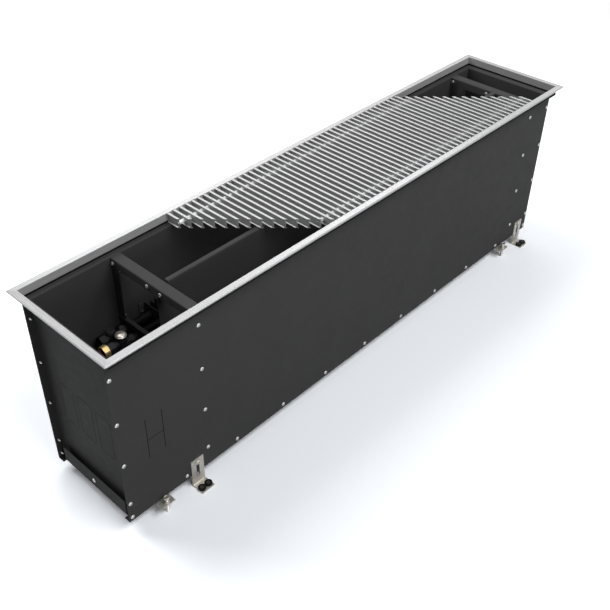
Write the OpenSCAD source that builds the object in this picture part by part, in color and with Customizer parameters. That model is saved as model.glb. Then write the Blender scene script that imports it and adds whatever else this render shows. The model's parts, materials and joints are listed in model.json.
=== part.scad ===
// Trench convector heater: a deep sheet-metal trough for sinking into a floor, with a finned
// exchanger in its rear shaft, an aluminium frame and a cross-slat grille that lifts off.
// The grille is the cut-away one of a showroom piece: both of its ends follow a slanting line.
// X runs along the length, the front side faces -Y, and the floor lies at Z = 0.

/* [Casing] */
// Length of the casing
case_l = 1300; // [1200:10:2400]
// Width between the outer faces of the side panels
case_w = 220; // [216:2:260]
// Height from the casing's bottom edge to the top of its ledge
case_h = 382; // [360:2:440]
// Thickness of the casing sheet
sheet = 1.2; // [0.8:0.1:1.5]
// Inner radius of the folds
fold_r = 1.4; // [0.8:0.2:2]
// Width of the ledge that carries the frame and the grille
ledge_w = 13.5; // [13:0.5:18]
// Width of the side panels' bottom flange
bottom_flange_w = 16; // [14:1:22]
// Distance of the end panels from the ends of the casing
end_inset = 15.5; // [14.5:0.5:20]
// Height of the casing above the floor
floor_gap = 24; // [22:1:32]

/* [Base pan] */
// Height of the base pan's side flanges
pan_side_h = 22; // [20:1:23]
// Height of the upright strip at each end of the base pan
pan_strip_h = 39; // [30:1:60]
// Distance of that strip from the end of the casing
pan_strip_in = 5.5; // [5:0.5:6.5]
// Height of the end panel's bottom lip behind the strip
end_lip_h = 31; // [28:1:29]

/* [Frame] */
// Height of the frame and of the grille above the ledge
frame_h = 20; // [20:1:24]
// Width of the frame's top flange
flange_w = 13.5; // [13:0.5:20]
// Thickness of the frame's top flange
flange_t = 2.5; // [2:0.1:3]
// Thickness of the frame's upright leg
leg_t = 2; // [1.6:0.1:2.6]
// Height of the rubber strip under the leg
gasket_h = 4; // [3:0.5:5]
// Bevel along the frame's outer edge
flange_bevel = 1.6; // [0.6:0.1:1.8]
// How far the frame's opening stands outside the side panels
frame_reach = 10.4; // [10:0.1:10.8]
// Distance of the frame's opening from the ends of the casing
frame_end_in = 2.25; // [2:0.05:2.5]

/* [Grille] */
// Distance from slat to slat
slat_pitch = 15; // [13:0.5:18]
// Width of a slat's top and bottom flange
slat_w = 5; // [4:0.2:6]
// Thickness of a slat's web
slat_web = 1.6; // [1.2:0.1:2]
// Thickness of a slat's flanges at their outer edge
slat_flange_t = 1.4; // [1:0.1:1.8]
// Gap between the slats' ends and the frame
slat_gap = 0.9; // [0.5:0.1:1.5]
// Outer diameter of the spacer tubes between the slats
spacer_d = 8; // [7:0.5:10]
// Diameter of the rods that link the slats
link_d = 4.8; // [4:0.2:5]
// Distance of each rod from the slats' ends
link_in = 28; // [22:1:36]
// Distance from the casing's left end to the left cut, along the middle
cut_left = 410.2; // [380:1:440]
// Distance from the casing's right end to the right cut, along the middle
cut_right = 190.4; // [170:1:230]

/* [Portals and partition] */
// Length of the left bay, from the end panel to the portal
left_bay_l = 164.5; // [160.5:1:174.5]
// Length of the right bay, from the portal's face to the end panel
right_bay_l = 74; // [64.5:0.5:84.5]
// Width of a portal's top flange
portal_top_w = 23; // [20:1:25]
// Width of a portal's side flanges
portal_side_w = 21; // [18:1:24]
// Height of a portal's window
window_h = 113; // [90:1:120]
// Depth of a portal's top band
portal_band_h = 18; // [16:1:20]
// Width of a portal's side columns
portal_column_w = 21; // [18:1:26]
// Distance of the partition's front face from the casing's front face
partition_in = 92.7; // [90:0.1:96]
// Width of the partition's top fold
partition_top_w = 9.6; // [8:0.2:12]

/* [Heat exchanger] */
// Outer diameter of the tubes
tube_d = 15; // [14:0.5:16]
// Wall of the tubes
tube_wall = 0.8; // [0.6:0.1:1.2]
// Distance from tube to tube
tube_pitch = 32; // [31:0.5:32]
// Height of the upper tube row above the casing's bottom edge
tube_row_h = 230; // [224:1:230]
// Distance of the rearmost tubes from the casing's rear face
tube_rear_in = 22; // [21:0.5:26]
// Distance from fin to fin
fin_pitch = 10; // [8:0.5:14]
// Thickness of a fin
fin_t = 0.6; // [0.4:0.1:1]
// Distance of the left end plate from the casing's left end
plate_left_in = 239; // [236:1:260]
// Distance of the right end plate from the casing's right end
plate_right_in = 150; // [135:1:170]

/* [Water connections] */
// Distance of the union nut's open end from the casing's left end
union_in = 100; // [90:1:110]
// Height of the union nut's axis above that of the upper tube row
union_rise = 7.5; // [7:0.5:11]
// Width across flats of the union nut
union_af = 25; // [24:0.5:28]
// Length of the union nut
union_l = 12; // [11:0.5:16]
// Diameter of the air vent's dome
vent_d = 22; // [18:0.5:23]
// Diameter of the return valve's cap
cap_d = 18; // [16:0.5:20]

/* [Feet] */
// Width of a foot bracket
foot_w = 30; // [30:1:36]
// Height of a foot bracket
foot_h = 65; // [64:1:70]
// Reach of a foot bracket in front of the side panel
foot_reach = 30; // [28:1:36]
// Thickness of a foot bracket
foot_t = 2.5; // [2:0.1:3]
// Width of the slot in a foot bracket
slot_w = 7; // [6.6:0.2:8]
// Distance of the left foot brackets' middle from the casing's left end
foot_left_in = 160; // [140:1:240]
// Distance of the right foot brackets' middle from the casing's right end
foot_right_in = 39.5; // [30:0.5:60]
// Diameter of a rubber bush
bush_d = 15.6; // [12:0.2:15.8]
// Distance between the two bushes of a bracket
bush_pitch = 16; // [16:0.5:18]
// Bore of the steel sleeve in a bush
sleeve_bore = 5.2; // [4:0.1:5.6]
// Diameter of a levelling bolt
bolt_d = 6; // [6:1:8]
// Distance of a levelling bolt's axis in front of the side panel
bolt_out = 12; // [11:0.5:13]
// Distance of the left levelling bolts from the casing's left end
bolt_left_in = 75; // [60:1:100]
// Distance of the right levelling bolts from the casing's right end
bolt_right_in = 117; // [100:1:140]

/* [Fasteners] */
// Diameter of a casing screw's head
screw_head_d = 8.4; // [8:0.2:11]
// Diameter of a casing screw's shank
screw_d = 4.2; // [3.5:0.1:4.8]
// Number of screws along a side panel's bottom row
bottom_screws = 11; // [8:1:18]
// Number of screws in each column of a side panel
column_screws = 4; // [3:1:5]

/* [Hidden] */
$fn = 48;

// Overrun of every cut, gap between pieces of one body, and gap between pieces that move
over = 2;
seat_gap = 0.1;
move_gap = 0.3;
run_gap = 0.05;

// Casing: the faces that the other pieces are set against
wall_out = case_w / 2;
wall_in = wall_out - sheet;
end_x = case_l / 2;
end_wall = end_x - end_inset;
z_bottom = floor_gap;
z_ledge = z_bottom + case_h;
z_pan = z_bottom + 2 * sheet;
half_sheet = sheet / 2;

// Screw rows: how far the rows keep from the edges of a side panel
screw_end_in = 6.4;
screw_bottom_in = 12.2;
column_bottom_in = 48.3;
column_top_in = 34.7;
screw_head_h = 2.4;
screw_edge_h = 0.7;
screw_l = 9;
screw_tip = 2.5;
hole_gap = 0.15;

// Knock-outs: three in the left end panel, and an H with two flaps in the front panel
knock_w = 40;
knock_h = 95;
knock_z = 124;
knock_pitch = 52.5;
knock_bridge = 3;
slit = 0.9;
flap_in = 60;
flap_w = 36.5;
flap_bar_share = 0.46;

// Base pan and the end panels' bottom lips
strip_half_w = wall_out - bottom_flange_w;
strip_x = end_x - pan_strip_in;
pan_wide_x = end_wall - sheet - seat_gap;
base_screw_h = 20;

// Frame
open_x = end_x - frame_end_in;
open_y = wall_out + frame_reach;
leg_h = frame_h - gasket_h;
z_leg = z_ledge + gasket_h;
rib_t = 1.2;
rib_w = 9;
rib_lip_w = 1;
rib_lip_h = 2.6;
rib_drop = 4.2;
key_gap = 0.15;
key_arm = 42;
gasket_w = 2.6;

// Grille
slat_half_y = open_y - slat_gap;
slat_taper = 1.1;
slat_round = 0.5;
link_y = slat_half_y - link_in;
link_hole_gap = 0.1;
spacer_bore_gap = 0.2;
link_end = 1.2;
stub_margin = 2;
cut_slope_share = 0.955;
cut_left_x = -end_x + cut_left;
cut_right_x = end_x - cut_right;
z_slat = z_ledge;
slat_first_gap = 1.8;
slat_first = cut_left_x - cut_slope_share * link_y + slat_first_gap;
slat_room = cut_right_x + cut_slope_share * (link_y - stub_margin) - slat_first;
slat_count = floor(slat_room / slat_pitch) + 1;

// Portals, their stiffening channels and the partition
portal_left = -end_wall + left_bay_l;
portal_right = end_wall - right_bay_l;
portal_drop = 1;
z_portal = z_ledge - portal_drop;
z_window_top = z_portal - portal_band_h;
z_sill = z_window_top - window_h;
window_half_y = wall_in - portal_column_w;
sill_lip = 6;
sill_bead_t = 1.2;
sill_bead_h = 2.4;
portal_lip_h = 6;
portal_side_drop = 8;
portal_screw_in = 10.4;
channel_gap = 0.2;
channel_lip_w = 18;
portal_screw_drop = 10;
portal_screw_side = 5.8;
partition_screw_half = 17.5;
partition_y = -wall_out + partition_in;
partition_fold_in = 7;
partition_mid = partition_y + partition_fold_in;
partition_bottom_gap = 3;
partition_notch_w = 26;
partition_tab_w = 16;
tab_up = 4;

// Heat exchanger: columns from front to rear, rows from bottom to top
tube_cols = 3;
tube_rows = 2;
tube_z = z_bottom + tube_row_h;
tube_y = wall_out - tube_rear_in;
fin_half = tube_pitch / 2;
fin_hole_gap = 0.1;
fin_rear = tube_y + fin_half - seat_gap;
fin_front = fin_rear - tube_cols * tube_pitch + seat_gap;
fin_top = tube_z + fin_half;
fin_bottom = fin_top - tube_rows * tube_pitch;
plate_left = -end_x + plate_left_in;
plate_right = end_x - plate_right_in;
plate_flange_w = 14;
plate_over = 2;
plate_side_gap = 0.3;
fin_end_gap = 6;
bend_stub = 8;
pipe_hole_gap = 2.6;
grommet_lip = 1.4;
grommet_gap = 0.2;
rivet_d = 4;
rivet_head_d = 7.6;
rivet_head_h = 1.2;

// U-bends: the tubes that each one joins, as [column, row]
right_bends = [[[1, 1], [0, 1]], [[0, 0], [1, 0]], [[2, 0], [2, 1]]];
left_bends = [[[0, 1], [0, 0]], [[1, 0], [2, 0]]];

// Water connections on the left of the left portal
supply_y = tube_y - tube_pitch;
return_y = tube_y;
union_x = -end_x + union_in;
union_z = tube_z + union_rise;
union_bore = 21;
union_thread_l = 4.6;
union_recess_d = 21.6;
union_bore_l = 9;
union_neck_d = 14;
union_collar_t = 2.2;
union_seal_t = 1.6;
seal_bore = 12;
neck_l = 15;
neck_reach = 2.5;
neck_af = 20;
vent_out = 32;
vent_x = union_x + union_l + vent_out;
body_crown = 1.5;
body_top = union_rise + union_neck_d / 2 + body_crown;
vent_stem_d = 15;
vent_stem_l = 5.6;
vent_seat = body_top + vent_stem_l;
vent_h = 8;
vent_edge_h = 3;
vent_bevel = 1;
vent_screw_d = 6;
vent_screw_h = 3.4;
vent_slot_w = 1;
vent_slot_h = 1.2;
supply_out = 14;
supply_end_x = vent_x + supply_out;
pipe_nut_af = 22;
pipe_nut_l = 11;
body_d = 21;
water_d = 11;
return_in = 143;
return_body_x = -end_x + return_in;
return_body_l = 18;
return_hex_l = 14;
return_cap_clear = 2.6;
return_open_d = 18.6;
return_open_l = 11;
return_af = 24;
return_boss_d = 15;
return_body_d = 17;
return_seat = 9;
return_spindle_d = 7;
return_spindle_h = 5;
return_cap_h = 8;
return_cap_wall = 1.4;
return_cap_round = 3;

// Feet
foot_fold_r = 2.5;
foot_left = -end_x + foot_left_in;
foot_right = end_x - foot_right_in;
foot_screw_up = 33;
foot_screw_z = z_bottom + foot_screw_up;
foot_screw_d = 6;
foot_screw_head_d = 10.5;
foot_screw_head_h = 3;
foot_screw_l = 18;
foot_slot_low = 17;
foot_slot_room = 0.2;
washer_d = 13;
washer_t = 1.2;
nut_flange_d = 11;
nut_flange_t = 1;
nut_body_d = 9;
nut_body_l = 11;
bush_y = 20;
bush_head_h = 4;
bush_neck_d = 10;
bush_bevel = 0.8;
sleeve_d = 7;
bush_lift = 0.3;
tab_w = 30;
tab_t = 2;
tab_out = 18;
bolt_left = -end_x + bolt_left_in;
bolt_right = end_x - bolt_right_in;
bolt_head_af = 10;
bolt_head_h = 4;
bolt_head_low = 11;
bolt_tip = 1;
lock_nut_h = 3.2;
tab_rivet_out = 4;

function unit(v) = v / norm(v);

// A folded sheet seen from its edge: the path runs along the middle of the sheet, and every
// fold in it turns by a right angle.
module folded(path, t, r) {
    mid_r = r + t / 2;
    last = len(path) - 1;
    for (i = [0 : last - 1]) {
        run = norm(path[i + 1] - path[i]);
        dir = unit(path[i + 1] - path[i]);
        from = i == 0 ? 0 : mid_r;
        to = i == last - 1 ? run : run - mid_r;
        translate(path[i])
            rotate(atan2(dir.y, dir.x))
                translate([from, -t / 2])
                    square([to - from, t]);
    }
    for (i = [1 : last - 1]) {
        diagonal = unit(path[i - 1] - path[i]) + unit(path[i + 1] - path[i]);
        centre = path[i] + diagonal * mid_r;
        translate(centre)
            rotate(atan2(-diagonal.y, -diagonal.x) - 45)
                intersection() {
                    difference() {
                        circle(r + t);
                        circle(r);
                    }
                    square(r + t);
                }
    }
}

// Extrudes an outline drawn in Y and Z along X, from x0 to x1
module along_x(x0, x1) {
    translate([x0, 0, 0])
        rotate([90, 0, 90])
            linear_extrude(x1 - x0)
                children();
}

// Extrudes an outline drawn in X and Z along Y, from y0 to y1
module along_y(y0, y1) {
    translate([0, y1, 0])
        rotate([90, 0, 0])
            linear_extrude(y1 - y0)
                children();
}

// Turns what points along +Z so that it points along X, or along Y
module to_x(side) {
    rotate([0, side * 90, 0])
        children();
}

module to_y(side) {
    rotate([-side * 90, 0, 0])
        children();
}

module tube(d, bore, l) {
    difference() {
        cylinder(d = d, h = l);
        translate([0, 0, -over])
            cylinder(d = bore, h = l + 2 * over);
    }
}

// A hexagon bar whose corners are turned off at both ends
module hex_bar(af, l) {
    corner = af / cos(30);
    bevel = (corner - af) / 2;
    intersection() {
        cylinder(d = corner, h = l, $fn = 6);
        rotate_extrude()
            polygon([[0, 0], [af / 2, 0], [corner / 2, bevel], [corner / 2, l - bevel], [af / 2, l], [0, l]]);
    }
}

// A screw with a domed head; its seat lies at Z = 0 and its shank points down
module pan_screw(head_d, head_h, edge_h, d, l, tip) {
    dome = [for (a = [90 : -22.5 : 0]) [head_d / 2 * cos(a), edge_h + (head_h - edge_h) * sin(a)]];
    rotate_extrude()
        polygon(concat(dome, [[head_d / 2, 0], [d / 2, 0], [d / 2, tip - l], [0, -l]]));
}

// A blind rivet: head above Z = 0, and a bulb of the same width below the grip
module rivet(grip) {
    bulb = rivet_d / 2 + rivet_head_h;
    rotate_extrude()
        polygon([[0, rivet_head_h], [rivet_d / 2, rivet_head_h], [rivet_head_d / 2, rivet_head_h / 3],
            [rivet_head_d / 2, 0], [rivet_d / 2, 0], [rivet_d / 2, -grip], [bulb, -grip - rivet_head_h],
            [bulb, -grip - 2 * rivet_head_h], [0, -grip - 3 * rivet_head_h]]);
}

// The places of the casing screws on a side panel, as [x, z]
screw_x = end_x - screw_end_in;
bottom_pitch = 2 * screw_x / (bottom_screws - 1);
row_pitch = (case_h - column_bottom_in - column_top_in) / (column_screws - 1);
column_x = [-screw_x, portal_left + portal_screw_in, portal_right + portal_screw_in, screw_x];
bottom_spots = [for (i = [0 : bottom_screws - 1]) [-screw_x + i * bottom_pitch, z_bottom + screw_bottom_in]];
function row_height(k) = z_bottom + column_bottom_in + k * row_pitch;
function column_spots(x) = [for (k = [0 : column_screws - 1]) [x, row_height(k)]];
screw_spots = concat(bottom_spots, [for (x = column_x) each column_spots(x)]);

// The rivets that hold the exchanger's end plates, as [x, z]
plate_rivet_x = [plate_left - plate_flange_w / 2, plate_right + plate_flange_w / 2];
plate_rivet_z = [fin_bottom + fin_half, fin_top - fin_half];

// The places of the feet and of the levelling bolts, as [x, side]; the front is side -1
foot_spots = [for (x = [foot_left, foot_right], side = [-1, 1]) [x, side]];
bolt_spots = [for (x = [bolt_left, bolt_right], side = [-1, 1]) [x, side]];

// Casing

module side_panel(side) {
    mid = wall_out - half_sheet;
    path = [
        [side * (wall_out + ledge_w), z_ledge - half_sheet],
        [side * mid, z_ledge - half_sheet],
        [side * mid, z_bottom + half_sheet],
        [side * (wall_out - bottom_flange_w), z_bottom + half_sheet]];
    difference() {
        along_x(-end_x, end_x)
            folded(path, sheet, fold_r);
        for (s = screw_spots)
            wall_hole(s, side, screw_d + 2 * hole_gap);
        for (f = foot_spots)
            if (f[1] == side)
                wall_hole([f[0], foot_screw_z], side, nut_body_d + 2 * hole_gap);
        for (b = bolt_spots)
            if (b[1] == side)
                tab_rivet_hole(b);
        if (side > 0)
            for (x = plate_rivet_x, z = plate_rivet_z)
                wall_hole([x, z], side, rivet_d + 2 * hole_gap);
    }
}

module wall_hole(spot, side, d) {
    translate([spot[0], side * (wall_in - over), spot[1]])
        to_y(side)
            cylinder(d = d, h = sheet + 2 * over);
}

module tab_rivet_hole(spot) {
    translate([spot[0], spot[1] * tab_rivet_y, z_bottom - tab_t - over])
        cylinder(d = rivet_d + 2 * hole_gap, h = tab_t + 2 * sheet + 2 * over);
}

tab_rivet_y = wall_out - bottom_flange_w + tab_rivet_out;

module front_side_panel() {
    flap_x = -end_x + flap_in;
    flap_z = z_bottom + knock_z;
    color([0.17, 0.17, 0.18])
        difference() {
            side_panel(-1);
            for (x = [flap_x, flap_x + flap_w - slit])
                translate([x, -wall_out - over, flap_z])
                    cube([slit, sheet + 2 * over, knock_h]);
            translate([flap_x, -wall_out - over, flap_z + flap_bar_share * knock_h])
                cube([flap_w, sheet + 2 * over, slit]);
        }
}

module rear_side_panel() {
    color([0.17, 0.17, 0.18])
        side_panel(1);
}

// An end panel: a wall with its ledge, a bottom lip and side flanges, all folded outwards.
// The side is -1 on the left and 1 on the right.
module end_panel(side) {
    mid = end_wall - half_sheet;
    lip_x = strip_x - sheet - half_sheet - seat_gap;
    half_y = wall_in - seat_gap;
    lip_half_y = strip_half_w;
    wall_path = [
        [side * end_x, z_ledge - half_sheet],
        [side * mid, z_ledge - half_sheet],
        [side * mid, z_pan + seat_gap]];
    lip_path = [
        [side * mid, z_ledge / 2],
        [side * mid, z_pan + half_sheet + seat_gap],
        [side * lip_x, z_pan + half_sheet + seat_gap],
        [side * lip_x, z_bottom + end_lip_h]];
    side_path = [
        [side * end_x, -half_y + half_sheet],
        [side * mid, -half_y + half_sheet],
        [side * mid, half_y - half_sheet],
        [side * end_x, half_y - half_sheet]];
    difference() {
        union() {
            along_y(-half_y, half_y)
                folded(wall_path, sheet, fold_r);
            along_y(-lip_half_y, lip_half_y)
                folded(lip_path, sheet, fold_r);
            translate([0, 0, z_pan + seat_gap])
                linear_extrude(z_ledge - fold_r - sheet - z_pan)
                    folded(side_path, sheet, fold_r);
        }
        for (s = screw_spots, y = [-1, 1])
            if (abs(s[0]) > end_wall)
                wall_hole_inner(s, y, screw_d + 2 * hole_gap);
        base_screw_hole(side);
    }
}

// A hole through a flange that lies against the inner face of a side panel
module wall_hole_inner(spot, side, d) {
    translate([spot[0], side * (wall_in - sheet - over), spot[1]])
        to_y(side)
            cylinder(d = d, h = sheet + over + seat_gap);
}

module base_screw_hole(side) {
    translate([side * (strip_x - screw_l - over), 0, z_bottom + base_screw_h])
        to_x(side)
            cylinder(d = screw_d + 2 * hole_gap, h = screw_l + 2 * over);
}

// The slit outline of a knock-out, held by a bridge at each corner
module knock_out(y, z) {
    for (dy = [0, knock_w - slit])
        translate([-end_x, y - knock_w / 2 + dy, z + knock_bridge])
            cube([end_inset + sheet + over, slit, knock_h - 2 * knock_bridge]);
    for (dz = [0, knock_h - slit])
        translate([-end_x, y - knock_w / 2 + knock_bridge, z + dz])
            cube([end_inset + sheet + over, knock_w - 2 * knock_bridge, slit]);
}

module left_end_panel() {
    color([0.15, 0.15, 0.16])
        difference() {
            end_panel(-1);
            for (k = [-1 : 1])
                knock_out(k * knock_pitch, z_bottom + knock_z);
        }
}

module right_end_panel() {
    color([0.15, 0.15, 0.16])
        end_panel(1);
}

module base_pan() {
    half_y = wall_in - seat_gap;
    side_path = [
        [-half_y + half_sheet, z_bottom + sheet + pan_side_h],
        [-half_y + half_sheet, z_bottom + sheet + half_sheet],
        [half_y - half_sheet, z_bottom + sheet + half_sheet],
        [half_y - half_sheet, z_bottom + sheet + pan_side_h]];
    strip_path = [
        [-strip_x + half_sheet, z_bottom + pan_strip_h],
        [-strip_x + half_sheet, z_bottom + sheet + half_sheet],
        [strip_x - half_sheet, z_bottom + sheet + half_sheet],
        [strip_x - half_sheet, z_bottom + pan_strip_h]];
    color([0.15, 0.15, 0.16])
        difference() {
            union() {
                along_x(-pan_wide_x, pan_wide_x)
                    folded(side_path, sheet, fold_r);
                along_y(-strip_half_w, strip_half_w)
                    folded(strip_path, sheet, fold_r);
            }
            for (s = screw_spots, y = [-1, 1])
                if (abs(s[0]) < pan_wide_x)
                    wall_hole_inner(s, y, screw_d + 2 * hole_gap);
            for (side = [-1, 1])
                base_screw_hole(side);
            for (b = bolt_spots)
                tab_rivet_hole(b);
        }
}

// Frame

// A rail's section: X counts outwards from the opening, Y upwards from the leg's foot
module rail_section() {
    channel_low = leg_h - flange_t - rib_drop;
    polygon([
        [0, 0], [leg_t, 0], [leg_t, channel_low], [rib_w, channel_low],
        [rib_w, channel_low + rib_lip_h], [rib_w - rib_lip_w, channel_low + rib_lip_h],
        [rib_w - rib_lip_w, channel_low + rib_t], [leg_t, channel_low + rib_t],
        [leg_t, leg_h - flange_t], [flange_w, leg_h - flange_t],
        [flange_w, leg_h - flange_bevel], [flange_w - flange_bevel, leg_h], [0, leg_h]]);
}

// The plan of one mitred rail: x and y are the half sizes of the opening, along and across it
module mitre(along, across) {
    polygon([[-along, across], [along, across],
        [along + flange_w, across + flange_w], [-along - flange_w, across + flange_w]]);
}

module long_rail(side) {
    color([0.86, 0.87, 0.88])
        mirror([0, side < 0 ? 1 : 0, 0])
            translate([0, 0, z_leg])
                intersection() {
                    along_x(-open_x - flange_w, open_x + flange_w)
                        translate([open_y, 0])
                            rail_section();
                    linear_extrude(leg_h)
                        mitre(open_x, open_y);
                }
}

module short_rail(side) {
    color([0.86, 0.87, 0.88])
        mirror([side < 0 ? 1 : 0, 0, 0])
            translate([0, 0, z_leg])
                intersection() {
                    along_y(-open_y - flange_w, open_y + flange_w)
                        translate([open_x, 0])
                            rail_section();
                    linear_extrude(leg_h)
                        mirror([1, -1, 0])
                            mitre(open_y, open_x);
                }
}

module front_frame_rail() {
    long_rail(-1);
}

module rear_frame_rail() {
    long_rail(1);
}

module left_frame_rail() {
    short_rail(-1);
}

module right_frame_rail() {
    short_rail(1);
}

// The angle pieces in the rails' channels that hold the mitres together
module frame_corner_keys() {
    inner = leg_t + key_gap;
    outer = rib_w - rib_lip_w - key_gap;
    low = z_leg + leg_h - flange_t - rib_drop + rib_t + key_gap;
    key_t = rib_drop - rib_t - 2 * key_gap;
    color([0.62, 0.63, 0.65])
        for (sx = [0, 1], sy = [0, 1])
            mirror([sx, 0, 0])
                mirror([0, sy, 0])
                    translate([open_x, open_y, low])
                        linear_extrude(key_t)
                            polygon([[inner, inner], [inner, -key_arm], [outer, -key_arm],
                                [outer, outer], [-key_arm, outer], [-key_arm, inner]]);
}

module frame_gasket() {
    color([0.05, 0.05, 0.05])
        translate([0, 0, z_ledge])
            linear_extrude(gasket_h)
                difference() {
                    square([2 * (open_x + gasket_w), 2 * (open_y + gasket_w)], center = true);
                    square([2 * open_x, 2 * open_y], center = true);
                }
}

// Portals, channels and partition

module portal(x0) {
    half_y = wall_in - seat_gap;
    mid = x0 + half_sheet;
    low = z_pan + seat_gap;
    top_path = [
        [mid, low],
        [mid, z_portal - half_sheet],
        [x0 + portal_top_w - half_sheet, z_portal - half_sheet],
        [x0 + portal_top_w - half_sheet, z_portal - portal_lip_h]];
    side_path = [
        [x0 + portal_side_w, -half_y + half_sheet],
        [mid, -half_y + half_sheet],
        [mid, half_y - half_sheet],
        [x0 + portal_side_w, half_y - half_sheet]];
    sill_path = [
        [mid, z_sill - portal_side_w],
        [mid, z_sill + half_sheet],
        [x0 + sill_lip, z_sill + half_sheet]];
    difference() {
        union() {
            difference() {
                union() {
                    along_y(-half_y, half_y)
                        folded(top_path, sheet, fold_r);
                    translate([0, 0, z_bottom + pan_side_h + 2 * sheet])
                        linear_extrude(z_portal - portal_side_drop - z_bottom - pan_side_h - 2 * sheet)
                            folded(side_path, sheet, fold_r);
                }
                translate([x0 - over, -window_half_y, z_sill - fold_r - half_sheet])
                    cube([sheet + 2 * over, 2 * window_half_y, window_h + fold_r + half_sheet]);
            }
            along_y(-window_half_y, window_half_y)
                folded(sill_path, sheet, fold_r);
        }
        for (s = screw_spots, y = [-1, 1])
            if (s[0] > x0 && s[0] < x0 + portal_side_w)
                wall_hole_inner(s, y, screw_d + 2 * hole_gap);
        pan_side_notches(x0);
        portal_screw_holes(x0);
    }
}

// Room for the base pan's side flanges at the foot of a portal
module pan_side_notches(x0) {
    for (side = [0, 1])
        mirror([0, side, 0])
            translate([x0 - over, wall_in - sheet - 2 * seat_gap - over, z_bottom])
                cube([sheet + 2 * over, sheet + 2 * over, pan_side_h + 2 * sheet]);
}

// The screws in a portal's top band; the middle pair stands on either side of the partition
portal_screw_y = [-wall_in + portal_screw_side, partition_mid - partition_screw_half,
    partition_mid + partition_screw_half, wall_in - portal_screw_side];
z_portal_screw = z_portal - portal_screw_drop;

module portal_screw_holes(x0) {
    for (y = portal_screw_y)
        translate([x0 - over, y, z_portal_screw])
            to_x(1)
                cylinder(d = screw_d + 2 * hole_gap, h = screw_l);
}

// The bead across the left portal's face, level with the foot of its window
module sill_bead() {
    half_y = wall_in - seat_gap;
    translate([portal_left - sill_bead_t, -half_y, z_sill - sill_bead_h])
        cube([sill_bead_t + half_sheet, 2 * half_y, sill_bead_h]);
}

module left_portal() {
    hole_d = tube_d + 2 * pipe_hole_gap;
    color([0.24, 0.24, 0.25])
        difference() {
            union() {
                portal(portal_left);
                sill_bead();
            }
            for (y = [supply_y, return_y])
                translate([portal_left - over, y, tube_z])
                    to_x(1)
                        cylinder(d = hole_d, h = sheet + 2 * over);
            for (z = tab_rivet_zs)
                translate([portal_left - over, partition_tab_y, z])
                    to_x(1)
                        cylinder(d = rivet_d + 2 * hole_gap, h = sheet + 2 * over);
        }
}

module right_portal() {
    color([0.24, 0.24, 0.25])
        difference() {
            portal(portal_right);
            for (z = tab_rivet_zs)
                translate([portal_right - over, partition_tab_y, z])
                    to_x(1)
                        cylinder(d = rivet_d + 2 * hole_gap, h = sheet + 2 * over);
        }
}

// The stiffening channel behind a portal's top band
module portal_channel(x0) {
    face = x0 + sheet + seat_gap;
    top = z_portal - sheet - seat_gap;
    half_y = wall_in - sheet - channel_gap;
    path = [
        [face + channel_lip_w, top - half_sheet],
        [face + half_sheet, top - half_sheet],
        [face + half_sheet, z_window_top + half_sheet],
        [face + channel_lip_w, z_window_top + half_sheet]];
    color([0.2, 0.2, 0.21])
        difference() {
            along_y(-half_y, half_y)
                folded(path, sheet, fold_r);
            portal_screw_holes(x0 + sheet);
        }
}

module left_portal_channel() {
    portal_channel(portal_left);
}

module right_portal_channel() {
    portal_channel(portal_right);
}

// The partition: folded at the top and at the bottom, with a riveted tab at each end
z_partition_low = fin_bottom - partition_bottom_gap;
partition_tab_y = partition_y - partition_tab_w / 2;
tab_low = z_partition_low + tab_up;
tab_high = z_sill - portal_side_w - tab_up;
tab_rivet_zs = [tab_low + tab_up + rivet_head_d, tab_high - rivet_head_d];

module partition_plate() {
    x0 = portal_left + sheet + seat_gap;
    x1 = portal_right - seat_gap;
    mid = partition_y + half_sheet;
    path = [
        [partition_y + partition_top_w, z_portal - half_sheet],
        [mid, z_portal - half_sheet],
        [mid, z_partition_low + half_sheet],
        [fin_front - seat_gap, z_partition_low + half_sheet]];
    color([0.2, 0.2, 0.21])
        difference() {
            union() {
                along_x(x0, x1)
                    folded(path, sheet, fold_r);
                for (x = [x0, x1 - sheet])
                    translate([x, partition_y - partition_tab_w, tab_low])
                        cube([sheet, partition_tab_w + half_sheet, tab_high - tab_low]);
            }
            translate([x0 - over, partition_y - over, z_window_top - tab_up])
                cube([partition_notch_w + over, partition_top_w + 2 * over, portal_band_h + tab_up + over]);
            for (x = [x0 - over, x1 - sheet - over], z = tab_rivet_zs)
                translate([x, partition_tab_y, z])
                    to_x(1)
                        cylinder(d = rivet_d + 2 * hole_gap, h = sheet + 2 * over);
            for (x = plate_rivet_x, z = plate_rivet_z)
                translate([x, partition_y - over, z])
                    to_y(1)
                        cylinder(d = rivet_d + 2 * hole_gap, h = sheet + 2 * over);
        }
}

module partition_rivets() {
    color([0.7, 0.7, 0.72])
        for (z = tab_rivet_zs) {
            translate([portal_left, partition_tab_y, z])
                to_x(-1)
                    rivet(2 * sheet + 2 * seat_gap);
            translate([portal_right - sheet - 2 * seat_gap, partition_tab_y, z])
                to_x(-1)
                    rivet(2 * sheet + 3 * seat_gap);
        }
}

// Heat exchanger

function col_y(c) = tube_y - (tube_cols - 1 - c) * tube_pitch;
function row_z(r) = tube_z - (tube_rows - 1 - r) * tube_pitch;

module exchanger_fins() {
    first = plate_left + sheet + fin_end_gap;
    room = plate_right - fin_end_gap - first - fin_t;
    count = floor(room / fin_pitch) + 1;
    spare = (room - (count - 1) * fin_pitch) / 2;
    color([0.3, 0.3, 0.32])
        for (k = [0 : count - 1])
            along_x(first + spare + k * fin_pitch, first + spare + k * fin_pitch + fin_t)
                difference() {
                    translate([fin_front, fin_bottom])
                        square([fin_rear - fin_front, fin_top - fin_bottom]);
                    for (c = [0 : tube_cols - 1], r = [0 : tube_rows - 1])
                        translate([col_y(c), row_z(r)])
                            circle(d = tube_d + 2 * fin_hole_gap);
                }
}

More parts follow.
